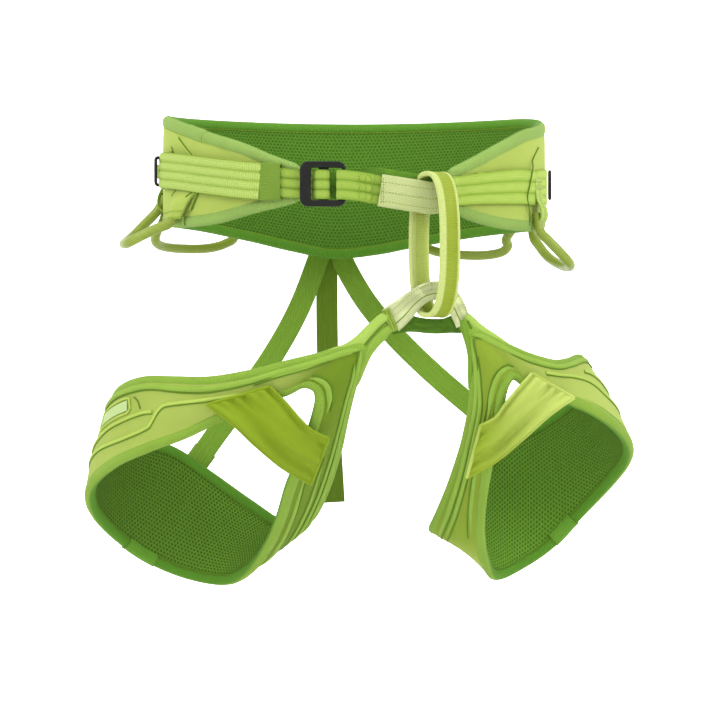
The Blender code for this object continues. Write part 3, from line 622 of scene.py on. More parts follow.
def make_looks():
    # Both colours here are painted shade for the inner face of the tapes: deep for the binding tapes, the
    # other for the piping tapes.
    piping_inside_shade, deep = (0.075, 0.235, 0.016), (0.09, 0.25, 0.018)
    return {
        "mesh": mesh_look("spacer_mesh_knit", (0.108, 0.258, 0.027), (0.045, 0.13, 0.01)),
        # The leg linings are lit copies of the belt lining's knit, each with a ramp of painted shade along
        # it.
        "leg_left_mesh": mesh_look("leg_left_mesh_knit", (0.16, 0.33, 0.035), (0.03, 0.10, 0.008),
                                   (0.21, 0.42, 0.36, 0.95)),
        "leg_right_mesh": mesh_look("leg_right_mesh_knit", (0.17, 0.36, 0.038), (0.04, 0.13, 0.01),
                                    (0.12, 0.34, 0.42, 0.98)),
        "rim_pale": tape_look("piping_tape_pale", (0.34, 0.50, 0.09), (0.23, 0.38, 0.05), piping_inside_shade,
                              -9 * MM, 1.2 * MM, 0.15 * MM),
        # The riser tail's colours are painted light and shade: lighter at the top, where the belt shades it,
        # and darker 0.2 m along, where more light falls.
        "riser_deep": elastic_look("riser_tail_elastic", (0.165, 0.27, 0.022), (0.12, 0.21, 0.014), 1.8 * MM,
                                   (0.085, 0.15, 0.007)),
        "shell": cloth_look("shell_weave", (0.43, 0.53, 0.115), (0.33, 0.43, 0.07), 0.7 * MM, 0.1 * MM),
        "binding": tape_look("edge_tape", (0.265, 0.41, 0.095), (0.17, 0.30, 0.045), deep),
        "leg_tape": tape_look("leg_edge_tape", (0.235, 0.39, 0.045), (0.14, 0.26, 0.02), deep,
                              8.5 * MM, 1.4 * MM),
        "webbing": webbing_look("ribbed_webbing", (0.52, 0.67, 0.13), (0.24, 0.39, 0.03)),
        # The front webbing colours are a shaded copy of the webbing's: painted shade at the front of the
        # belt. The tie-in webbing starts in the same painted shade and turns to the webbing's own colours 80
        # mm along.
        "webbing_front_shade": webbing_look("ribbed_webbing_front_shade", (0.38, 0.53, 0.085), (0.10, 0.22, 0.010)),
        "tie_in_webbing": webbing_look("ribbed_tie_in_webbing", (0.38, 0.53, 0.085), (0.12, 0.26, 0.012),
                                       further=((0.52, 0.68, 0.13), (0.24, 0.40, 0.03), 80 * MM)),
        "bridge": cloth_look("bridge_weave", (0.84, 0.89, 0.49), (0.70, 0.78, 0.37), 1.3 * MM, 0.2 * MM, 0.05,
                             0.85),
        # The leg shells' deep colours, and the places where they start, are painted shade on the inner side
        # of each band.
        "leg_left_shell": leg_shell_look("leg_left_shell_weave", (0.44, 0.54, 0.115), (0.15, 0.25, 0.012),
                                         430 * MM),
        "leg_right_shell": leg_shell_look("leg_right_shell_weave", (0.46, 0.56, 0.13), (0.25, 0.36, 0.03),
                                          400 * MM),
        "stretch_pale": cloth_look("stretch_knit_pale", (0.52, 0.61, 0.16), (0.40, 0.50, 0.09), 0.6 * MM,
                                   0.05 * MM, 0.05, 0.55, 14, (0.25, 0.35, 0.015)),
        "overlap": elastic_look("overlap_tape", (0.12, 0.29, 0.026), (0.085, 0.23, 0.016), 2.0 * MM),
        "arm_dark": elastic_look("arm_tape_dark", (0.17, 0.31, 0.028), (0.10, 0.21, 0.014), 2.4 * MM),
        "sleeve": webbing_look("ribbed_sleeve", (0.47, 0.61, 0.155), (0.25, 0.39, 0.045), 1.9 * MM, 0.4 * MM),
        "protector": cloth_look("protector_weave", (0.53, 0.59, 0.27), (0.42, 0.48, 0.19), 1.3 * MM,
                                0.2 * MM, 0.05, 0.85),
        "belay": belay_look("belay_weave", (0.235, 0.315, 0.015), (0.53, 0.61, 0.20), (0.50, 0.59, 0.12)),
        "elastic": elastic_look("keeper_elastic", (0.16, 0.27, 0.033), (0.11, 0.20, 0.018)),
        "stretch": cloth_look("stretch_knit", (0.25, 0.345, 0.012), (0.15, 0.24, 0.006), 0.6 * MM,
                              0.05 * MM, 0.04, 0.55, 14),
        "riser": elastic_look("riser_elastic", (0.185, 0.335, 0.032), (0.125, 0.25, 0.02), 1.8 * MM),
        "deep_tape": elastic_look("closing_tape", (0.13, 0.32, 0.022), (0.08, 0.23, 0.012), 1.8 * MM),
        "tube": rope_look("gear_tube_plastic", (0.25, 0.32, 0.028), (0.18, 0.245, 0.016)),
        "metal": solid_look("buckle_anodised", (0.004, 0.0045, 0.003), 0.4, 0.0),
        "plastic": solid_look("moulded_black", (0.010, 0.010, 0.009), 0.45),
        "thread": cloth_look("thread_olive", (0.24, 0.36, 0.03), (0.17, 0.28, 0.02), 0.5 * MM),
        "thread_pale": cloth_look("thread_pale", (0.52, 0.62, 0.2), (0.42, 0.52, 0.14), 0.5 * MM),
        # Dark strips in this colour are painted shadow: in cut lines, slits, folds, tape edges, hollows and
        # creased cloth.
        "seam": cloth_look("seam_shadow", (0.13, 0.25, 0.018), (0.09, 0.19, 0.011), 0.5 * MM),
        "rim": tape_look("piping_tape", (0.25, 0.40, 0.052), (0.16, 0.29, 0.027), piping_inside_shade, -9 * MM,
                         1.2 * MM, 0.15 * MM),
        "pale_rim": cloth_look("piping_shell", (0.44, 0.57, 0.11), (0.36, 0.49, 0.07), 0.9 * MM),
        "patch": cloth_look("label_patch", (0.50, 0.63, 0.29), (0.40, 0.54, 0.2), 0.9 * MM, 0.15 * MM),
    }


def worn(piece, body, slot, *nodes):
    """Puts a piece on a body and lets it stand for these CAD nodes. The slot is not used."""
    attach(piece, body)
    if nodes:
        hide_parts(*nodes)


# ---------------------------------------------------------------- soft forms
def puff(piece, held, pressure, most):
    """Swells a closed form as foam does under its cover: pressure from inside, its held points fixed."""
    scene = bpy.context.scene
    rest = np.array([v.co for v in piece.data.vertices])
    group = piece.vertex_groups.new(name="held")
    group.add([int(i) for i in np.flatnonzero(held)], 1.0, "REPLACE")
    cloth = piece.modifiers.new("cloth", "CLOTH")
    cloth.settings.quality = 4
    cloth.settings.mass = 0.12
    cloth.settings.tension_stiffness = cloth.settings.compression_stiffness = 12
    cloth.settings.bending_stiffness = 0.6
    cloth.settings.vertex_group_mass = "held"
    cloth.settings.use_pressure = True
    cloth.settings.uniform_pressure_force = pressure
    cloth.settings.effector_weights.gravity = 0
    cloth.collision_settings.use_collision = False
    for frame in range(1, 21):
        scene.frame_set(frame)
    swollen = piece.evaluated_get(bpy.context.evaluated_depsgraph_get()).to_mesh()
    moved = np.array([v.co for v in swollen.vertices]) - rest
    size = np.linalg.norm(moved, axis=1, keepdims=True)
    moved *= np.minimum(1, most / np.maximum(size, 1e-9))
    piece.evaluated_get(bpy.context.evaluated_depsgraph_get()).to_mesh_clear()
    piece.modifiers.remove(cloth)
    scene.frame_set(1)
    piece.data.vertices.foreach_set("co", (rest + moved).astype(np.float32).ravel())
    piece.data.update()


def there_and_back(across):
    """The weave marks of a layer whose two faces lie back to back."""
    return across + across[::-1] + across[:1]


def slab(name, places, shares, at, inner, outer, look, width, closed=False):
    """A layer of a band. at(place, share, out) gives its points; inner and outer give how far out each
    face lies at (place, share)."""
    rings = []
    for p in places:
        low = [at(p, s, inner(p, s)) for s in shares]
        high = [at(p, s, outer(p, s)) for s in reversed(shares)]
        rings.append(low + high)
    return skin(name, rings, look, closed, there_and_back([s * width for s in shares]))


def spread(count, first=0.0, last=1.0):
    return [first + (last - first) * i / (count - 1) for i in range(count)]


# ---------------------------------------------------------------- waist belt
def belt_normal(degrees):
    a = math.radians(degrees)
    return Vector((math.sin(a) * WAIST_HALF_DEPTH, math.cos(a) * WAIST_HALF_WIDTH, 0)).normalized()


def belt_point(degrees, height, offset):
    a = math.radians(degrees)
    base = Vector((math.sin(a) * WAIST_HALF_WIDTH, math.cos(a) * WAIST_HALF_DEPTH, height))
    return base + belt_normal(degrees) * offset


def belt_at(degrees, share, out):
    low, high = table(LOWER_RIM, degrees), table(UPPER_RIM, degrees)
    return belt_point(degrees, (low + (high - low) * share) * MM, out)


def belt_spread(count, margin):
    return spread(count, LEFT_TIP_DEG + margin, RIGHT_TIP_DEG - margin)


def pillow(share, depth, power=4):
    """How far a face bulges at a share of its width: nothing at the rims, the full depth in the middle."""
    return depth * (1 - abs(2 * share - 1) ** power)


def make_belt(looks):
    shares = spread(23, 0.02, 0.98)
    pad = slab("waist_pad", belt_spread(170, 1.6), shares, belt_at,
               lambda p, s: 1.6 * MM - pillow(s, 1.9 * MM),
               lambda p, s: PAD_FACE - 1.2 * MM + pillow(s, 1.2 * MM),
               looks["mesh"], 90 * MM)
    rims = np.tile(np.array([s < 0.06 or s > 0.94 for s in shares + shares[::-1]]), 170)
    puff(pad, rims, 3.0, 1.0 * MM)
    shell = slab("waist_shell", belt_spread(200, 1.8), spread(25, 0.04, 0.96), belt_at,
                 lambda p, s: PAD_FACE + 0.2 * MM - 1.4 * MM * abs(2 * s - 1) ** 6,
                 lambda p, s: SHELL_FACE - 1.6 * MM * abs(2 * s - 1) ** 6 - belt_crease(p, s),
                 looks["shell"], 90 * MM)
    worn(pad, "waist", "spacer_mesh", "waist_mesh_lining", "waist_foam_pad")
    worn(shell, "waist", "shell_fabric", "waist_outer_shell")
    make_belt_binding(looks)
    make_belt_seams(looks)


def belt_crease(degrees, share):
    """Slack in the cover near the ends of the belt, where it is pulled towards the webbing."""
    near_tip = smooth((abs(degrees + 6) - 95) / 40)
    return 0.5 * MM * near_tip * (0.5 + 0.5 * math.sin(degrees * 0.5 + share * 9)) * (1 - abs(2 * share - 1))


def belt_rim(first, last, upper, count):
    share = 1 if upper else 0
    return [(a, belt_at(a, share, BINDING_OFFSET)) for a in spread(count, first, last)]


def belt_tape_rings(path, closed, upper, scale=1.0):
    """Cross-sections of tape folded over the rim: flat on both faces, round at the edge, and deeper on the
    outer face than on the side towards the wearer."""
    rings = []
    for (a, point), along, high in zip(path, tangents([p for _, p in path], closed), upper):
        face = belt_normal(a)
        out = along.cross(face).normalized()
        away_from_tips = smooth(min(a - LEFT_TIP_DEG, RIGHT_TIP_DEG - a) / 30)
        drop = (2.0 * smooth((a + 110) / 50) if high else 1.2 + 2.4 * away_from_tips) * MM
        outside, half = 4.1 * MM * scale, 4.7 * MM * scale
        inner, outer = 3.4 * MM, 5.6 * MM
        profile = [(-inner, -0.75), (-inner * 0.6, -1), (0, -1), (outside * 0.5, -0.86),
                   (outside * 0.86, -0.5),
                   (outside, 0), (outside * 0.86, 0.5), (outside * 0.5, 0.86), (0, 1), (-outer * 0.6, 1),
                   (-outer, 0.75)]
        rings.append([point + out * (o - drop) + face * f * half for o, f in profile])
    return rings


def make_belt_binding(looks):
    angles = belt_spread(220, 0)
    path = ([(a, belt_at(a, 1, BINDING_OFFSET)) for a in angles]
            + [(a, belt_at(a, 0, BINDING_OFFSET)) for a in reversed(angles)])
    upper = [True] * len(angles) + [False] * len(angles)
    rings = belt_tape_rings(path, True, upper)
    worn(skin("waist_binding", rings, looks["binding"], closed=True),
         "waist", "edge_binding", "waist_edge_binding")
    overlap = belt_tape_rings(belt_rim(-129, -120, True, 9), False, [True] * 9, 1.1)
    overlap = skin("waist_binding_overlap", overlap, looks["binding"])
    seams = [round_rings([ring[k] for ring in rings + rings[:1]], 0.4 * MM, 5) for k in (0, -1)]
    seams = skins("waist_binding_seams", seams, looks["thread"])
    for piece in (overlap, seams):
        worn(piece, "waist", "edge_binding")


def belt_line(points, out):
    """A line on the belt through (degrees, height in mm) points."""
    dense = spline([Vector((a, h, 0)) for a, h in points], 6)
    return [belt_point(v.x, v.y * MM, out) for v in dense]


BELT_SEAMS = [
    [(-115.5, 32), (-120, 24), (-124.5, 16)],
    [(-109.5, 25.5), (-111.5, 21)],
    [(-127.4, -9.5), (-126.2, -16), (-123.4, -25.5)],
    [(-128.6, -10.5), (-127.2, -9.2)],
    [(-119.8, -30), (-119.6, -37)],
]


# The cover's edge at the right hip, laid over the webbing's end: (degrees, height, offset) in mm.
RIGHT_HIP_EDGE = [(107.5, 25.5, 9.1), (113, 15, 9.4), (115.2, 8.5, 12.2), (117.5, -4, 12.9), (119, -15, 12.6),
                  (117, -23, 11), (114.8, -30, 9.2), (115.4, -37, 9)]


def make_belt_seams(looks):
    """Cut lines in the cover near both hips: thin dark strips of painted shadow along each, with a folded lip
    beside each; one more such strip follows the cover's edge at the right hip.
    """
    out = SHELL_FACE + 0.25 * MM
    lines = [belt_line(points, out) for points in BELT_SEAMS]
    lines.append(spline([belt_point(a, h * MM, o * MM) for a, h, o in RIGHT_HIP_EDGE], 6))
    dark = skins("waist_cover_seams", [round_rings(line, 0.55 * MM, 6) for line in lines], looks["seam"])
    lips = [belt_line([(a + 1.3, h + 0.8) for a, h in points], out - 0.3 * MM) for points in BELT_SEAMS]
    raised = skins("waist_cover_lips", [round_rings(line, 1.1 * MM, 8) for line in lips], looks["pale_rim"])
    for piece in (dark, raised):
        worn(piece, "waist", "shell_fabric")


def web_height(degrees):
    return table(WEB_LINE, degrees) * MM


def belt_track(first, last, offset, steps=2, step_deg=4.0):
    count = max(2, round(abs(last - first) / step_deg) + 1)
    angles = spread(count, first, last)
    return Track([belt_point(a, web_height(a), offset) for a in angles], [UP] * count, steps)


def make_belt_webbing(looks):
    load = belt_track(-147, 141, LOAD_WEB_OFFSET)
    profile = webbing_profile(28 * MM, 1.5 * MM, 4, 0.4 * MM)
    piece = strap("waist_webbing", load, profile, looks["webbing"],
                  lambda share: (1 - 0.15 * smooth((share - 0.86) / 0.06), 1))
    worn(piece, "waist", "webbing", "waist_load_webbing")
    rows = dashes(load.line(12.2 * MM, 1.0 * MM, 0.2, 0.85), 3.2 * MM, 2.2 * MM)
    rows += dashes(load.line(-12.2 * MM, 1.0 * MM, 0.2, 0.85), 3.2 * MM, 2.2 * MM)
    for share in (0.965, 0.985):
        point, (along, side, face) = load.nearest(share)
        for w in (-7, -1, 5):
            rows += zigzag(point + side * w * MM + face * 1.1 * MM, along, side, 3 * MM, 3 * MM, 4)
    worn(thread("waist_webbing_stitches", rows, 0.25 * MM, looks["thread"]), "waist", "webbing")

    cover = belt_track(-152.4, -105.6, SLEEVE_OFFSET)
    profile = webbing_profile(27.6 * MM, 2.2 * MM, 4, 0.9 * MM, 8)
    worn(strap("wing_sleeve", cover, profile, looks["sleeve"]), "waist", "webbing", "tail_sleeve")


def make_gear_tabs(looks):
    """Webbing tabs, bar-tacked at both ends, that hold the gear loops' ends against the belt."""
    sewn = []
    for name, degrees in GEAR_TABS.items():
        if name == "left_front":
            continue
        middle = web_height(degrees) - 4 * MM
        outline = [(-25, 13.5), (-20, 16.6), (-13, 16.2), (-6, 12.8), (2, 11.6), (12, 11.4)]
        path = [belt_point(degrees, middle + dz * MM, out * MM) for dz, out in outline]
        normal = belt_normal(degrees)
        side = Vector((-normal.y, normal.x, 0))
        track = Track(path, [side] * len(path), 4)
        piece = strap("gear_tab_cover_" + name, track, webbing_profile(12 * MM, 1.6 * MM, 2, 0.3 * MM),
                      looks["sleeve"])
        worn(piece, "waist", "webbing", "gear_tab_" + name)
        for share in (0.72, 0.9):
            point, (along, across, face) = track.nearest(share)
            out = face if face.dot(normal) > 0 else -face
            sewn += zigzag(point - across * 4.5 * MM + out * 0.95 * MM, across, along, 9 * MM, 3 * MM, 7)
    worn(thread("gear_tab_stitches", sewn, 0.28 * MM, looks["thread_pale"]), "waist", "webbing")
    make_front_tab(looks)


def make_front_tab(looks):
    """The broad tab under the wing webbing that the left front gear loop is sewn into."""
    places, shares = spread(29), spread(15)

    def out(p, s, lift):
        over_tube = math.exp(-((p - 0.74) / 0.24) ** 2) * smooth((1 - s) / 0.6)
        return (9.3 + 1.4 * smooth((1 - s) / 0.55) + 6.6 * over_tube) * MM + lift

    def at(p, s, offset):
        return belt_point(-104.8 - p * (14.7 + 9.7 * s), (-32 + 27 * s) * MM, offset)

    tab = slab("gear_tab_cover_left_front", places, shares, at, lambda p, s: out(p, s, 0),
               lambda p, s: out(p, s, 1.5 * MM), looks["shell"], 24 * MM)
    worn(tab, "waist", "webbing", "gear_tab_left_front")
    dark, raised = [], []
    # The dark list holds strips of painted shadow in the tab's two slits.
    for start, end in (((0.5, 0.95), (0.38, 0.68)), ((0.99, 0.9), (0.9, 0.62))):
        places = [(start[0] + (end[0] - start[0]) * t, start[1] + (end[1] - start[1]) * t) for t in spread(8)]
        dark.append(round_rings([at(p, s, out(p, s, 1.55 * MM)) for p, s in places], 0.55 * MM, 6))
    for s in (0.04, 0.22):
        fold = [at(p, s, out(p, s, 1.3 * MM)) for p in spread(20, 0.02, 0.98)]
        raised.append(round_rings(fold, 0.7 * MM, 6))
    raised.append(round_rings([at(0.99, s, out(0.99, s, 1.1 * MM)) for s in spread(12)], 0.8 * MM, 6))
    for name, rings, look in (("gear_tab_slit_shadows", dark, "seam"), ("gear_tab_folds", raised, "sleeve")):
        worn(skins(name, rings, looks[look]), "waist", "webbing")


# ---------------------------------------------------------------- front of the belt
TIE_IN_LINE = [(20, -103.1), (30, -102.2), (40, -101.1), (50, -99.9), (60, -98.5), (70, -96.9)]


def front_path(points):
    return [Vector((x, y, table(FRONT_LEVEL, x))) * MM for x, y in points]


def make_front_webbing(looks):
    on_load = 10.7 * MM
    profile = webbing_profile(22.5 * MM, 1.5 * MM, 3, 0.45 * MM, 8)
    lower = front_path([(-33.5, -101), (-40, -101.1), (-46, -101)])
    upper = front_path([(-33.4, -103.3), (-40, -103.5), (-46, -103.3)])
    for a in (-160, -156, -152, -148, -144, -140, -136):
        for path, offset in ((lower, on_load), (upper, on_load + 1.8 * MM)):
            base = belt_point(a, 0, offset + 0.7 * MM)
            base.z = table(FRONT_LEVEL, base.x / MM) * MM
            path.append(base)
    for a in (-130, -124, -118, -112):
        upper.append(belt_point(a, web_height(a), on_load + 2.5 * MM))
    for name, path, node in (("adjust_strap_lower", lower, "adjust_webbing_standing"),
                             ("adjust_strap_upper", upper, "adjust_webbing_tail")):
        worn(strap(name, Track(path, [UP] * len(path), 4), profile, looks["webbing_front_shade"]),
             "waist", "webbing", node)

    wrap = front_path([(-30.6, -103.9), (-29.2, -106.2), (-27, -107.9), (-23.4, -108.1), (-20.4, -107.6),
                       (-18.9, -105.6), (-19.2, -103.4), (-21, -102.3), (-25, -101.6), (-31.6, -101.1)])
    piece = strap("adjust_strap_wrap", Track(wrap, [UP] * len(wrap), 4), profile, looks["webbing_front_shade"])
    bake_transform(piece)
    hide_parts("adjust_webbing_wrap")

    points = [(14, -107.2), (6, -110.2), (-6, -110.6), (-11.0, -109.8), (-12.7, -107.3), (-11.0, -104.6),
              (-6, -103.7), (6, -103.6), (16, -103.4)] + TIE_IN_LINE + [(78, -95.4)]
    path = front_path(points)
    for a in (147, 141, 135, 129, 123, 117, 111):
        base = belt_point(a, 0, on_load + 0.7 * MM)
        base.z = table(FRONT_LEVEL, base.x / MM) * MM
        path.append(base)
    track = Track(path, [UP] * len(path), 4)
    piece = strap("tie_in_strap", track, profile, looks["tie_in_webbing"],
                  lambda share: (1 + 0.2 * smooth((share - 0.6) / 0.3), 1))
    worn(piece, "waist", "webbing", "tie_in_webbing")

    # The backing is tape behind the tie-in. Where it reaches left into the gap beside the buckle, its dark
    # colour also stands in for the gap's shade: real tape and painted shade.
    backing = [Vector((p.x, p.y + 3.1 * MM, p.z + 5.2 * MM * smooth(p.x / (20 * MM))))
               for p in front_path([(-23, -101.4), (-12, -102), (0, -103), (12, -104.2)] + TIE_IN_LINE)]
    backing = strap("tie_in_backing", Track(backing, [UP] * len(backing), 4),
                    webbing_profile(24 * MM, 1.4 * MM, 2, 0.3 * MM), looks["deep_tape"],
                    lambda share: (0.84 + 0.16 * smooth(share / 0.4), 1))
    worn(backing, "waist", "webbing")

    sewn = []
    for z in (-9.2, -3, 3, 9.2):
        line = front_path([(14, -108.25), (10, -109.6), (4, -111.4)])
        sewn += dashes([p + UP * z * MM for p in line], 2.2 * MM, 1.6 * MM)
    for x, y in ((13.6, -108.5), (4.2, -111.4), (9, -110.2)):
        post = front_path([(x, y)])[0]
        sewn += dashes([post + UP * z * MM for z in (-9.6, -3, 3, 9.6)], 2.0 * MM, 1.5 * MM)
    worn(thread("tie_in_strap_stitches", sewn, 0.32 * MM, looks["thread"]), "waist", "webbing")


def round_box(width, height, radius, steps=3):
    """A rectangle's outline with round corners, about its middle."""
    out = []
    for (x, y), start in (((1, -1), -90), ((1, 1), 0), ((-1, 1), 90), ((-1, -1), 180)):
        for k in range(steps + 1):
            a = math.radians(start + 90 * k / steps)
            out.append((x * (width / 2 - radius) + radius * math.cos(a),
                        y * (height / 2 - radius) + radius * math.sin(a)))
    return out


def sleeve(name, path, outer, inner, look, swell=0.0):
    """A fabric tube with round corners along a path, its width upright: both walls and both mouths."""
    rings = []
    points = spline(path, 6)
    total = len(points) - 1
    for share_wall, size, corner in (("outer", outer, 1.6 * MM), ("inner", inner, 1.0 * MM)):
        order = range(total + 1) if share_wall == "outer" else range(total, -1, -1)
        for i in order:
            point = points[i]
            along = (points[min(i + 1, total)] - points[max(i - 1, 0)]).normalized()
            up = (UP - along * along.z).normalized()
            face = along.cross(up)
            more = swell * math.sin(math.pi * i / total) if share_wall == "outer" else 0
            box = round_box(size[0] + more, size[1] + more, corner)
            rings.append([point + up * a + face * b for a, b in box])
    return skin(name, rings, look, closed=True)


def make_protector(looks):
    core = front_path(TIE_IN_LINE)
    outer, inner = (24.6 * MM, 4.6 * MM), (22.9 * MM, 2.7 * MM)
    piece = sleeve("tie_in_cover", core, outer, inner, looks["protector"], 0.3 * MM)
    worn(piece, "waist", "protector", "tie_in_protector")
    rows = []
    normal = Vector((0.12, -1, 0)).normalized()
    for z in (-8.2, -1.0, 6.6):
        rows += dashes([p + UP * z * MM + normal * 2.45 * MM for p in spline(core, 4)], 2.6 * MM, 1.7 * MM)
    for share in (0.012, 0.05):
        post = core[0].lerp(core[-1], share) + normal * 2.45 * MM
        rows += dashes([post + UP * z * MM for z in (-10.5, 0, 10.5)], 2.2 * MM, 1.6 * MM)
    worn(thread("tie_in_cover_stitches", rows, 0.27 * MM, looks["thread"]), "waist", "protector")


def make_keeper(looks):
    middle = -155.5
    normal = belt_normal(middle)
    along = Vector((-normal.y, normal.x, 0))
    centre = belt_point(middle, 0, 12.3 * MM)
    centre.z = table(FRONT_LEVEL, centre.x / MM) * MM
    path = [centre - along * 8.2 * MM, centre, centre + along * 8.2 * MM]
    outer, inner = (28.2 * MM, 6.8 * MM), (25.6 * MM, 4.9 * MM)
    piece = sleeve("strap_keeper", path, outer, inner, looks["elastic"], 0.6 * MM)
    worn(piece, "keeper", "elastic", "webbing_keeper")


def plate(name, outline, centre, across, up, thick, look, hole, bevel):
    """A plate with rolled edges: its outline about its centre, extruded both ways, with or without a hole."""
    across, up = across.normalized(), up.normalized()
    face = across.cross(up)

    def level(points, share):
        return [centre + across * x + up * y + face * thick * share for x, y in points]

    loops = [level(outline, -0.5), level(outline, 0.5)]
    if hole:
        loops += [level(hole, 0.5), level(hole, -0.5)]
    piece = skin(name, loops, look, closed=bool(hole))
    rolled = piece.modifiers.new("rolled_edges", "BEVEL")
    rolled.width, rolled.segments, rolled.limit_method = bevel, 3, "ANGLE"
    rolled.angle_limit = math.radians(40)
    return piece


def corner_box(left, right, low, high, radius, steps=5):
    cx, cy = (left + right) / 2, (low + high) / 2
    return [(cx + x, cy + y) for x, y in round_box(right - left, high - low, radius, steps)]


def make_buckle(looks):
    half_w, half_h = 17.5 * MM, 17.25 * MM
    outline = corner_box(-half_w, half_w, -half_h, half_h, 6.2 * MM)
    window = corner_box(-half_w + 8.6 * MM, half_w - 3 * MM, -half_h + 4.9 * MM, half_h - 4.9 * MM, 1.4 * MM)
    centre = Vector((-23.5, -107.25, -8)) * MM
    across = Vector((1, 0, 0))
    frame = plate("buckle_body", outline, centre, across, UP, 3.5 * MM, looks["metal"], window, 0.9 * MM)
    worn(frame, "buckle", "black_metal", "buckle_frame")
    bar = plate("buckle_bar", corner_box(-3.8 * MM, 3.8 * MM, -13.6 * MM, 13.6 * MM, 1.2 * MM),
                Vector((-22.9, -104.4, -8)) * MM, across, UP, 1.9 * MM, looks["metal"], None, 0.4 * MM)
    worn(bar, "slide_bar", "black_metal", "buckle_slide_bar")


# ---------------------------------------------------------------- belay loop and leg bridge
def make_belay(looks):
    centre = Vector((61.6, -99, -53.8)) * MM
    heading = math.radians(-51.5)
    forward = Vector((math.cos(heading), math.sin(heading), 0))
    across = Vector((-forward.y, forward.x, 0))
    points = []
    for k in range(72):
        s, c = math.sin(2 * math.pi * k / 72), math.cos(2 * math.pi * k / 72)
        deep = math.copysign(abs(s) ** 0.78, s) * 18.5 * MM
        tall = math.copysign(abs(c) ** 0.78, c) * 54 * MM
        points.append(centre + forward * deep + UP * tall)
    track = Track(points, [across] * 72, 2, closed=True)
    half = 9.2 * MM
    face = [(-1, 0.55, 0), (-0.96, 1.0, 0.04), (-0.84, 1.18, 0.16), (-0.72, 1.05, 0.28), (-0.66, 0.85, 0.34),
            (-0.33, 0.92, 0.67), (0, 0.95, 1.0), (0.33, 0.92, 1.33), (0.66, 0.85, 1.66), (0.72, 1.05, 1.72),
            (0.84, 1.18, 1.84), (0.96, 1.0, 1.96), (1, 0.55, 2.0)]
    profile = [(x * half, y * 1.65 * MM, v) for x, y, v in face]
    profile = profile[::-1] + [(x, -y, v) for x, y, v in profile]
    worn(strap("belay_ring", track, profile, looks["belay"]), "belay", "belay_webbing", "belay_loop")
    rows = []
    for w in (-3.6, -1.8, 0, 1.8, 3.6):
        for out in (-1.75, 1.75):
            rows += dashes(track.line(w * MM, out * MM, 0.62, 0.87), 2.3 * MM, 1.7 * MM)
    worn(thread("belay_ring_stitches", rows, 0.3 * MM, looks["thread_pale"]), "belay", "belay_webbing")


def make_bridge(looks):
    """The protected webbing arch between the leg loops, two layers deep, and the strap that closes it."""
    arch = mm([(28, -98.5, -112), (36.5, -98.5, -105), (45.5, -98.5, -96.8), (54.5, -98.5, -90.8),
               (64, -98.5, -89), (72, -98.5, -92.5), (78, -98.5, -100.5), (81.6, -98.5, -108.5),
               (84.4, -98.5, -115)])
    widths = [Vector((-t.z, 0, t.x)) for t in tangents(arch)]
    track = Track(arch, widths, 6)

    def flare(share):
        return 1 + 0.42 * (1 - smooth(share / 0.4)) - 0.14 * smooth((share - 0.65) / 0.35), 1

    profile = webbing_profile(14.6 * MM, 3.4 * MM, 1, 0.2 * MM, 10, 0.45)
    piece = strap("bridge_cover", track, profile, looks["bridge"], flare)
    under, line = [], []
    for p, (_, side, _), d in zip(track.points, track.frames, track.walked):
        wide = flare(d / track.walked[-1])[0]
        under.append(p - side * 4.9 * MM * wide + Vector((0, -1.9 * MM, 0)))
        line.append(p - side * (4.9 * wide - 2.5) * MM + Vector((0, -2.1 * MM, 0)))
    under = Track(under, [side for _, side, _ in track.frames], 1)
    lip = webbing_profile(4.6 * MM, 1.5 * MM, 1, 0.15 * MM, 8, 0.5)
    lip = strap("bridge_lip", under, lip, looks["bridge"])
    # A dark line of painted shadow where the cover meets the lip below it.
    shadow = skins("bridge_lip_seam", [round_rings(line, 0.45 * MM, 6)], looks["thread"])
    worn(piece, "waist", "protector", "bridge_webbing")
    rows = []
    for w in (1.2, 5.2):
        rows += dashes(track.line(w * MM, 1.85 * MM), 2.4 * MM, 1.7 * MM)
        rows += dashes(track.line(w * MM, -1.85 * MM), 2.4 * MM, 1.7 * MM)
    sewn = thread("bridge_stitches", rows, 0.25 * MM, looks["thread_pale"])
    lower = mm([(29, -92, -113.8), (40, -92, -113.6), (48, -91.5, -114.8), (58, -91, -116), (68, -91.5, -116),
                (76, -91.8, -114.6), (82, -92, -113.6)])

    def wider_ends(share):
        return 1 + 0.5 * (1 - smooth(share / 0.42)) + 0.35 * smooth((share - 0.74) / 0.26), 1

    strip = strap("bridge_lower_strap", Track(lower, [UP] * len(lower), 5),
                  webbing_profile(11.4 * MM, 1.6 * MM, 2, 0.3 * MM), looks["deep_tape"], wider_ends)
    end = mm([(24.2, -101.0, -103.4), (27.6, -101.4, -111.6), (31.2, -101.0, -120)])
    patch = strap("bridge_end_patch", Track(end, [Vector((0.92, 0, 0.38))] * 3, 6),
                  webbing_profile(6.2 * MM, 1.6 * MM, 3, 0.3 * MM), looks["webbing_front_shade"])
    tack, down = [], (end[2] - end[0]).normalized()
    for shift in (-2.2, 1.2):
        corner = end[0] + Vector((shift, -1.0, -1.2)) * MM
        tack += zigzag(corner, down, Vector((0.92, 0, 0.38)), 13.5 * MM, 1.9 * MM, 8)
    tack = thread("bridge_end_stitches", tack, 0.27 * MM, looks["thread"])
    for made, slot_name in ((lip, "protector"), (shadow, "protector"), (sewn, "protector"),
                            (strip, "edge_binding"), (patch, "webbing"), (tack, "webbing")):
        worn(made, "waist", slot_name)
    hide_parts("bridge_closing_strap")


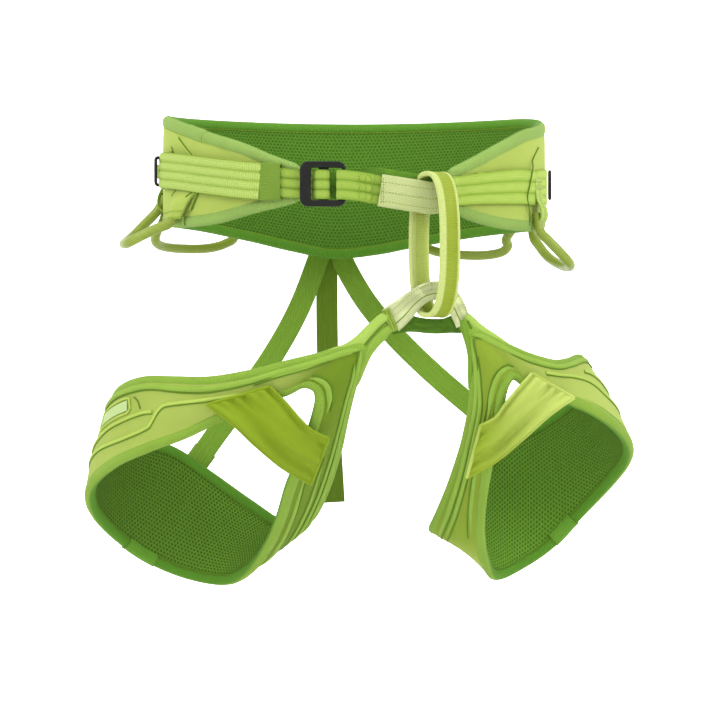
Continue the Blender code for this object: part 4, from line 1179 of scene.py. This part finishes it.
# ---------------------------------------------------------------- leg loops
class Band:
    """A leg band's own surface: places are stations round it, shares run from the lower to the upper rim."""

    def __init__(self, stations, facing, steps=8):
        self.steps = steps
        self.high = spline(mm([s[0] for s in stations]), steps, closed=True)
        self.low = spline(mm([s[1] for s in stations]), steps, closed=True)
        middle = [(a + b) / 2 for a, b in zip(self.high, self.low)]
        self.normals = [along.cross(a - b).normalized() * facing
                        for along, a, b in zip(tangents(middle, True), self.high, self.low)]
        self.count = len(self.high)

    def at(self, place, share, out, crown=LEG_CROWN):
        where = (place * self.steps) % self.count
        i = int(where)
        j, t = (i + 1) % self.count, where - i
        low, high = self.low[i].lerp(self.low[j], t), self.high[i].lerp(self.high[j], t)
        normal = self.normals[i].lerp(self.normals[j], t).normalized()
        return low.lerp(high, share) + normal * (out + crown * 4 * share * (1 - share))

    def width(self, place):
        i = int(place * self.steps) % self.count
        return (self.high[i] - self.low[i]).length

    def line(self, points, out):
        """A line on the band through (place, share) points."""
        dense = spline([Vector((p, s, 0)) for p, s in points], 8)
        return [self.at(v.x, v.y, out) for v in dense]


# Folded edges on the leg covers: (place, share) points of the line that each fold's shadow follows.
LEG_PIPING = {
    "left": [
        [(3.1, 0.22), (3.4, 0.26), (4.3, 0.38), (5.35, 0.48), (6.2, 0.52), (6.5, 0.46), (6.75, 0.30),
         (6.95, 0.22), (7.7, 0.20), (8.5, 0.26), (9.2, 0.28), (10.0, 0.28), (11.0, 0.30)],
        [(6.72, 0.44), (7.05, 0.46), (7.7, 0.45), (8.2, 0.45), (8.8, 0.43), (9.6, 0.43), (10.6, 0.45)],
    ],
    "right": [
        [(3.2, 0.42), (3.9, 0.46), (4.6, 0.48), (5.3, 0.46), (6.0, 0.40), (6.6, 0.34), (7.2, 0.34),
         (8.6, 0.36), (10.0, 0.34)],
        [(5.6, 0.62), (6.4, 0.60), (7.2, 0.60), (8.0, 0.62), (9.2, 0.62)],
    ],
}
# Raised ribs beside the rims: which rim, half the rib's height in mm, and (place, mm from that rim) points.
LEG_RIBS = {
    "left": [
        ("upper", 2.2, [(0.02, 2.4), (0.5, 5.8), (1.5, 7.2), (3, 7.0), (5, 6.6), (6.5, 6.4), (7.6, 6.4),
                        (8.8, 5.8), (10, 5.5)]),
        ("upper", 1.5, [(1.0, 11.4), (2.0, 11.2), (3.0, 10.4), (3.7, 9.4)]),
        ("upper", 2.1, [(14.5, 7), (16, 7.4), (18, 7.6), (20, 7.4), (21.1, 6.6), (21.5, 5.6), (21.95, 2.4)]),
        ("upper", 1.9, [(14.8, 13.2), (16, 13.8), (18, 14.2), (20, 12.8), (20.9, 11.6), (21.5, 9.6)]),
        ("upper", 1.8, [(15.0, 20), (16, 20.6), (17.2, 22), (18.4, 22.4)]),
        ("lower", 1.7, [(14.4, 7.4), (15.6, 8.2), (17.2, 8.6), (18.8, 7.8)]),
        ("lower", 2.0, [(20.0, 6.4), (20.7, 6.6), (21.4, 7.2), (22.2, 7.0), (23.0, 6.4)]),
    ],
    "right": [
        ("upper", 2.2, [(0.02, 2.4), (0.6, 6.0), (2, 7.0), (3.5, 6.8), (5, 6.4), (6, 6.0), (6.8, 5.6)]),
        ("upper", 2.1, [(15.4, 6.6), (17, 7.2), (19, 7.4), (20.5, 7.0), (21.3, 5.8), (21.95, 2.4)]),
        ("upper", 1.8, [(15.8, 12.6), (17, 13.2), (18.6, 12.6), (20, 11.4), (20.8, 10.0), (21.5, 8.4)]),
        ("lower", 1.9, [(19.6, 6.2), (20.5, 6.4), (21.3, 7.0), (22.2, 7.0), (23.2, 6.2)]),
        ("lower", 1.6, [(16.2, 6.8), (17.2, 7.4), (18.2, 7.2), (19, 6.6)]),
    ],
}
# The sewn overlap in each lower rim's tape: two places, thickness beside the tape's, and depth in mm.
LEG_OVERLAPS = {"left": (11.55, 12.2, 1.18, 5.8), "right": (11.2, 11.85, 1.2, 6.6)}


def leg_slab(name, band, inner, outer, look, margin, cross, fullness):
    places = [i / band.steps for i in range(0, band.count)]
    rings = []
    for p in places:
        m = margin / band.width(p)
        shares = spread(cross, m, 1 - m)
        low = [band.at(p, s, inner - pillow(s, fullness[0])) for s in shares]
        high = [band.at(p, s, outer + pillow(s, fullness[1])) for s in reversed(shares)]
        rings.append(low + high)
    return skin(name, rings, look, True, there_and_back([s * LEG_CLOTH_WIDTH for s in spread(cross)]))


def leg_tape_rings(band, rim, first, last, closed, scale=1.0, inside=4.6 * MM):
    """Cross-sections of the tape on one rim, and the two lines where its edges are sewn down."""
    count = band.count
    order = [i % count for i in range(first, last)]
    points, other = (band.high, band.low) if rim == "upper" else (band.low, band.high)
    middle = (LEG_SHELL_FACE - LEG_PAD_THICK) / 2
    outside, half = 3.7 * MM * scale, 4.1 * MM * scale
    profile = [(-inside, -0.8), (-inside * 0.6, -1), (0, -1), (outside * 0.55, -0.84),
               (outside * 0.88, -0.46),
               (outside, 0), (outside * 0.88, 0.46), (outside * 0.55, 0.84), (0, 1), (-inside * 0.6, 1),
               (-inside, 0.8)]
    rings, seam_lines = [], ([], [])
    for i, along in zip(order, tangents([points[i] for i in order], closed)):
        point, normal = points[i], band.normals[i]
        out = (point - other[i]) - along * (point - other[i]).dot(along)
        out = (out - normal * out.dot(normal)).normalized()
        centre = point + normal * middle
        rings.append([centre + out * o + normal * f * half for o, f in profile])
        for side, line in zip((1, -1), seam_lines):
            line.append(centre - out * (inside - 0.4 * MM) + normal * side * (half - 0.2 * MM))
    return rings, seam_lines


def leg_tape(name, band, rim, look, body, node):
    """The binding on one rim of a leg band."""
    rings, seam_lines = leg_tape_rings(band, rim, 0, band.count, True)
    worn(skin(name, rings, look, closed=True), body, "edge_binding", node)
    return [line + line[:1] for line in seam_lines]


def wrinkle(along, across):
    """Folds of the stretch panel: gathers at both sewn ends, long soft folds between, quiet side edges."""
    long_folds = math.sin(across * 9.5 + along * 2.6 + 0.6) * 0.7
    long_folds += math.sin(across * 17 - along * 2.0 + 1.1) * 0.3
    near_ends = 0.45 * (1 - smooth(along / 0.3)) + 0.35 * smooth((along - 0.72) / 0.28)
    gathers = math.sin(across * 31 + along * 5) * near_ends
    hold = smooth(along / 0.06) * smooth((1 - along) / 0.06)
    hold *= smooth(across / 0.1) * smooth((1 - across) / 0.1)
    return (long_folds * (0.6 + 0.4 * math.sin(math.pi * along)) + gathers) * hold


def make_stretch_panel(side, edges, looks, depth):
    top = spline(mm([e[0] for e in edges]), 14)
    bottom = spline(mm([e[1] for e in edges]), 14)
    rows, thick = 40, 1.1 * MM
    count = len(top)
    rings = []
    for i, (a, b, along) in enumerate(zip(top, bottom, tangents(top))):
        normal = along.cross(a - b).normalized()
        if normal.y > 0:
            normal = -normal
        share = i / (count - 1)
        sheet = [b.lerp(a, k / rows) + normal * wrinkle(share, k / rows) * depth for k in range(rows + 1)]
        half = normal * thick / 2
        rings.append([p - half for p in sheet] + [p + half for p in reversed(sheet)])
    span = 60 * MM
    across = [k * span / rows for k in range(rows + 1)]
    look = looks["stretch" if side == "left" else "stretch_pale"]
    piece = skin(f"leg_{side}_stretch_panel", rings, look, False, there_and_back(across))
    hem = []
    for line in (top, bottom):
        hem.append(round_rings(line, 1.15 * MM, 8))
    ends = [[b.lerp(a, s) for s in spread(24)] for a, b in ((top[0], bottom[0]), (top[-1], bottom[-1]))]
    hem += [round_rings(line, 1.3 * MM, 8) for line in ends]
    edge = skins(f"leg_{side}_panel_hem", hem, look)
    body = f"leg_{side}"
    for made in (piece, edge):
        worn(made, body, "stretch_fabric")
    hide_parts(f"leg_{side}_elastic_panel")


def make_leg(side, stations, facing, edges, arm, looks):
    band = Band(stations, facing)
    body, start = f"leg_{side}", f"leg_{side}_"
    cross = 17
    lining = looks[start + "mesh"]
    pad = leg_slab(start + "pad", band, -LEG_PAD_THICK + 1.0 * MM, -0.2 * MM, lining, 2.6 * MM, cross,
                   (1.3 * MM, 0.2 * MM))
    edge_rows = np.tile(np.array([k < 2 or k > cross - 3 for k in list(range(cross)) * 2]), band.count)
    puff(pad, edge_rows, 2.5, 0.8 * MM)
    shell = leg_slab(start + "shell", band, LEG_SHELL_INSIDE - 1.2 * MM, LEG_SHELL_FACE - 0.9 * MM,
                     looks[start + "shell"], 2.8 * MM, 21, (-0.8 * MM, 1.0 * MM))
    worn(pad, body, "spacer_mesh", start + "mesh_padding")
    worn(shell, body, "shell_fabric", start + "outer_shell")
    seams = []
    for rim in ("upper", "lower"):
        seams += leg_tape(f"{start}{rim}_tape", band, rim, looks["leg_tape"], body, f"{start}{rim}_binding")
    # Dark strips of painted shadow along both sewn edges of each tape.
    dark = skins(start + "tape_seams", [round_rings(line, 0.4 * MM, 5) for line in seams], looks["seam"])

    out = LEG_SHELL_FACE + 0.4 * MM
    folds, ribs, shadows = [], [], []
    for line in LEG_PIPING[side]:
        beside = [(p, s + 1.7 * MM / band.width(p)) for p, s in line]
        folds.append(round_rings(band.line(beside, out - 0.3 * MM), 1.5 * MM, 8))
        shadows.append(round_rings(band.line(line, out), 0.55 * MM, 6))
    for rim, radius, line in LEG_RIBS[side]:
        def shares(shift):
            down = [(p, (d + shift) * MM / band.width(p)) for p, d in line]
            return [(p, 1 - share) for p, share in down] if rim == "upper" else down

        rib = band.line(shares(0), out - 1.2 * MM)
        end = len(rib) - 1
        ribs.append(round_rings(rib, lambda i: radius * 1.22 * MM * tapered(i, end, 0.3, 9), 12))
        shadows.append(round_rings(band.line(shares(radius * 1.2 + 0.2), out - 0.1 * MM), 0.6 * MM, 6))
    piping = skins(start + "piping", ribs, looks["rim"])
    folded = skins(start + "folds", folds, looks["pale_rim"])
    # Dark strips of painted shadow beside each fold and rib.
    groove_shadows = skins(start + "groove_shadows", shadows, looks["seam"])
    first, last, fuller, deep = LEG_OVERLAPS[side]
    overlap, _ = leg_tape_rings(band, "lower", round(first * band.steps), round(last * band.steps) + 1, False,
                                fuller, deep * MM)
    # Dark rings of painted shadow at both ends of the tape's sewn overlap.
    overlap_shadow_rings = [overlap[0], overlap[-1]]
    overlap = skin(start + "tape_overlap", overlap, looks["overlap"])
    ends = skins(start + "overlap_end_shadows", [round_rings(ring + ring[:1], 0.4 * MM, 5) for ring in overlap_shadow_rings],
                 looks["seam"])
    for piece in (dark, piping, folded, groove_shadows, overlap, ends):
        worn(piece, body, "edge_binding")
    make_stretch_panel(side, edges, looks, 3.6 * MM)

    core = mm(arm[0])
    track = Track(core, [Vector((-t.z, 0, t.x)) for t in tangents(core)], 6)
    worn(strap(start + "arm", track, webbing_profile(13 * MM, 2.4 * MM, 1, 0.3 * MM, 8), looks["rim"]),
         body, "edge_binding", start + "arm_webbing")
    for k, (line, size, look) in enumerate(arm[1:3], 1):
        line = spline(mm(line), 8)
        last = len(line) - 1
        band_rings = round_rings(line, lambda i: size * MM * tapered(i, last, 0.72, 6), 14, flat=0.62,
                                 face=[Vector((0, -1, 0))] * len(line))
        worn(skin(f"{start}arm_band_{k}", band_rings, looks[look]), body, "edge_binding")
    # A dark strip of painted shadow in the hollow between the arm's strands.
    groove = skins(start + "arm_groove_shadow", [round_rings(spline(mm(arm[3]), 8), 0.7 * MM, 6)], looks["seam"])
    worn(groove, body, "edge_binding")

    path = mm(RISER_TABS[side])
    widths = [Vector((-t.z, 0, t.x)) for t in tangents(path)]
    profile = webbing_profile(20 * MM, 1.5 * MM, 3, 0.3 * MM)
    worn(strap(start + "riser_patch", Track(path, widths, 5), profile, looks["binding"]),
         body, "edge_binding", start + "riser_tab")
    return band


def make_label(band, looks):
    """A blank sewn patch in a raised frame on the outside of the left leg loop."""
    out = LEG_SHELL_FACE + 0.5 * MM
    rows = spread(9, 0.59, 0.735)
    places = spread(13, 7.45, 8.5)
    rings = []
    for p in places:
        low = [band.at(p, s, out - 0.5 * MM) for s in rows]
        high = [band.at(p, s, out + 0.9 * MM) for s in reversed(rows)]
        rings.append(low + high)
    worn(skin("leg_left_patch", rings, looks["patch"]), "leg_left", "protector", "leg_left_label")
    corners = [(7.36, 0.59), (7.4, 0.75), (7.52, 0.775), (8.6, 0.775), (8.6, 0.555), (7.46, 0.555),
               (7.36, 0.59)]
    line = []
    for (p0, s0), (p1, s1) in zip(corners, corners[1:]):
        line += [band.at(p0 + (p1 - p0) * t, s0 + (s1 - s0) * t, out + 0.2 * MM) for t in spread(12)[:-1]]
    worn(skins("leg_left_patch_frame", [round_rings(line + line[:1], 1.0 * MM, 8)], looks["pale_rim"]),
         "leg_left", "edge_binding")
    # A dark strip of painted shadow on the creased cloth beside the patch's frame.
    crease_shadow = skins("leg_left_crease_shadow", [round_rings(band.line([(7.25, 0.76), (7.12, 0.68), (7.05, 0.56)], out),
                                                   0.6 * MM, 6)], looks["seam"])
    worn(crease_shadow, "leg_left", "shell_fabric")


# ---------------------------------------------------------------- gear loops, rings and risers
GEAR_LEADS = {
    "gear_front_left": [(-116.5, -24, 11.8), (-79, -9, 12.2)],
    "gear_rear_left": [(-75.5, -15, 12.2), (-43, -19, 12.2)],
    "gear_front_right": [(112, -27, 11.6), (68.5, -24, 12.2)],
    "gear_rear_right": [(63, -26, 12.2), (26, -24, 12.2)],
}


def make_gear_loops(looks):
    """Cord in plastic tube; both ends run in under the tabs."""
    for name, points in GEAR_LOOPS.items():
        first, last = (belt_point(a, h * MM, out * MM) for a, h, out in GEAR_LEADS[name])
        path = spline([first] + mm(points) + [last], 8)
        end = len(path) - 1
        rings = round_rings(path, lambda i: 3.9 * MM * tapered(i, end, 0.8, 10), 14)
        worn(skin(name + "_tube", rings, looks["tube"]),
             name, "gear_tube", name.replace("gear_", "gear_loop_"))


SIDE_RINGS = {"left": (-102.5, -1, 40), "right": (93, 2, 88)}


def make_side_rings(looks):
    """Plastic frames on both hips; a short webbing keeper shows round the left one's bar."""
    for side, (degrees, rise, lean) in SIDE_RINGS.items():
        normal = belt_normal(degrees)
        centre = belt_point(degrees, web_height(degrees) + rise * MM, 12.2 * MM)
        turn = math.radians(lean)
        leaning = Vector((normal.x * math.cos(turn) - normal.y * math.sin(turn),
                          normal.x * math.sin(turn) + normal.y * math.cos(turn), 0))
        outline = round_box(6.9 * MM, 21.6 * MM, 2.6 * MM, 5)
        path = [centre + leaning * (x + 4.5 * MM) + UP * y for x, y in outline]
        rings = round_rings(path, 1.3 * MM, 10, closed=True)
        worn(skin("hip_ring_" + side, rings, looks["plastic"], closed=True),
             "ring_" + side, "black_plastic", "side_ring_" + side)
        if side == "right":
            continue
        bar = centre + leaning * 1.05 * MM
        cross = Vector((-leaning.y, leaning.x, 0))
        around = [bar + leaning * math.cos(a) * 2.6 * MM + cross * math.sin(a) * 2.3 * MM
                  for a in (2 * math.pi * k / 10 for k in range(10))]
        keeper = Track(around, [UP] * 10, 3, closed=True)
        keeper = strap("hip_ring_keeper_" + side, keeper, webbing_profile(11 * MM, 0.9 * MM, 2, 0.15 * MM),
                       looks["sleeve"])
        worn(keeper, "waist", "webbing")


def make_risers(looks):
    across = Vector((1, 0, 0))
    centre = Vector((-20, 110.5, -42)) * MM
    outline = corner_box(-13 * MM, 13 * MM, -8 * MM, 8 * MM, 3 * MM)
    window = corner_box(-9.6 * MM, 9.6 * MM, 0.4 * MM, 4.6 * MM, 1 * MM)
    buckle = plate("riser_slider", outline, centre, across, UP, 2.4 * MM, looks["plastic"], window, 0.5 * MM)
    worn(buckle, "waist", "black_plastic", "riser_buckle")
    path = mm([(-20, 107.6, -28), (-20, 107.6, -40), (-20, 107.6, -52)])
    profile = webbing_profile(20 * MM, 1.4 * MM, 3, 0.25 * MM)
    worn(strap("riser_anchor", Track(path, [across] * 3, 4), profile, looks["webbing"]),
         "waist", "webbing", "riser_buckle_tab")
    profile = [(x, y, x) for x, y, _ in webbing_profile(18 * MM, 1.9 * MM, 4, 0.2 * MM)]
    for side, points in RISERS.items():
        path = mm(points)
        widths = [Vector((-t.z, 0, t.x)) for t in tangents(path)]
        piece = strap("riser_strap_" + side, Track(path, widths, 10), profile, looks["riser"])
        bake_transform(piece)
        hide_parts("riser_" + side)
    path = mm([(-23, 119.4, -36), (-23, 119.4, -110), (-21, 119.4, -190), (-17, 119.4, -262)])
    worn(strap("riser_tail_strap", Track(path, [across] * 4, 14), profile, looks["riser_deep"]),
         "riser_tail", "riser_webbing", "riser_tail")


def dress_frame(frame, looks):
    """A better material for any load webbing CAD node that still shows."""
    for name, node in frame["nodes"].items():
        if name.endswith("load_webbing") and not node.hide_render:
            node.data.materials.clear()
            node.data.materials.append(looks["webbing"])


# ---------------------------------------------------------------- studio
def make_studio():
    floor_level, wall = -0.47, 3.6
    outline = [(-6, floor_level), (2.2, floor_level), (2.9, floor_level + 0.08), (3.4, floor_level + 0.5),
               (wall, floor_level + 1.4), (wall, 3.5)]
    dense = spline([Vector((0, y, z)) for y, z in outline], 8)
    verts = [(x, p.y, p.z) for p in dense for x in (-6, 6)]
    faces = [(2 * i, 2 * i + 1, 2 * i + 3, 2 * i + 2) for i in range(len(dense) - 1)]
    mesh = bpy.data.meshes.new("studio_sweep")
    mesh.from_pydata(verts, [], faces)
    mesh.shade_smooth()
    paper = Cloth("studio_paper", 0.9)
    split = paper.nodes.new("ShaderNodeSeparateXYZ")
    paper.links.new(paper.place, split.inputs[0])
    glow = paper.math("MULTIPLY", paper.math("SUBTRACT", split.outputs["Y"], 0.2), 0.9, clamp=True)
    paper.links.new(glow, paper.shader.inputs["Emission Strength"])
    paper.shader.inputs["Emission Color"].default_value = (1, 1, 1, 1)
    white = paper.mix(paper.noise(3, 2, 0, 0.2), (0.93, 0.93, 0.93), (0.90, 0.90, 0.90))
    mesh.materials.append(paper.finish(white))
    sweep = bpy.data.objects.new("studio_sweep", mesh)
    bpy.context.scene.collection.objects.link(sweep)

    world = bpy.data.worlds.new("studio")
    world.use_nodes = True
    world.node_tree.nodes["Background"].inputs["Color"].default_value = (1, 1, 1, 1)
    world.node_tree.nodes["Background"].inputs["Strength"].default_value = 0.49
    bpy.context.scene.world = world
    harness = Vector((0, 0, -0.14))
    lamps = [("left", (-1.7, -1.0, 0.9), 1.3, 28), ("right", (1.7, -1.0, 0.9), 1.3, 28),
             ("top", (0.0, -0.5, 1.9), 1.4, 18), ("front", (0.0, -2.6, 0.6), 1.6, 7.5)]
    for name, place, size, power in lamps:
        light = bpy.data.lights.new(name, "AREA")
        light.size, light.energy = size, power
        lamp = bpy.data.objects.new(name, light)
        lamp.location = place
        lamp.rotation_euler = (harness - Vector(place)).to_track_quat("-Z", "Y").to_euler()
        bpy.context.scene.collection.objects.link(lamp)

    camera = bpy.data.cameras.new("camera")
    camera.sensor_width = 36
    camera.lens = 36 * 2.2 / 0.576
    view = bpy.data.objects.new("camera", camera)
    view.location = (0.0048, -2.2, -0.142)
    view.rotation_euler = (math.radians(90), 0, 0)
    bpy.context.scene.collection.objects.link(view)
    bpy.context.scene.camera = view
    bpy.context.scene.view_settings.view_transform = "Standard"


def main():
    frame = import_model()
    looks = make_looks()
    make_belt(looks)
    make_belt_webbing(looks)
    make_gear_tabs(looks)
    make_front_webbing(looks)
    make_protector(looks)
    make_keeper(looks)
    make_buckle(looks)
    make_belay(looks)
    make_bridge(looks)
    left_arm = [[(27, -98.5, -113.5), (20, -99.5, -119.5), (13, -100.5, -125.5), (5, -101, -133)],
                ([(-22, -104.5, -138.5), (-7, -104.5, -135), (3, -103.5, -129), (12, -102, -120.5),
                  (19, -101, -114), (25, -100, -108)], 4.9, "rim_pale"),
                ([(-4, -80, -165), (1.5, -92, -153), (5, -97.5, -144.5), (10, -100.5, -134.5),
                  (17.5, -101, -125.5), (27, -100, -117.2)], 5.4, "rim"),
                [(-3, -104.5, -141), (4, -104.6, -136), (11, -104.6, -127.3), (18, -104.2, -119.6),
                 (25, -103, -113)]]
    right_arm = [[(83.5, -98.3, -110), (87, -98.6, -116), (91, -99, -122)],
                 ([(83.2, -99.5, -111.5), (86.8, -99.5, -119.5), (90.4, -98, -131), (92.2, -93.5, -143),
                   (91.5, -84, -164)], 4.9, "arm_dark"),
                 ([(85.8, -99.5, -108), (91.5, -99.5, -114.5), (101, -98.5, -122), (117, -95, -131.5)], 3.9,
                  "rim_pale"),
                 [(87, -102, -112), (91.5, -102, -120.5), (97, -102, -126), (104, -101.2, -129)]]
    left = make_leg("left", LEFT_LEG, -1, LEFT_PANEL, left_arm, looks)
    make_leg("right", RIGHT_LEG, 1, RIGHT_PANEL, right_arm, looks)
    make_label(left, looks)
    make_gear_loops(looks)
    make_side_rings(looks)
    make_risers(looks)
    dress_frame(frame, looks)
    make_studio()


main()
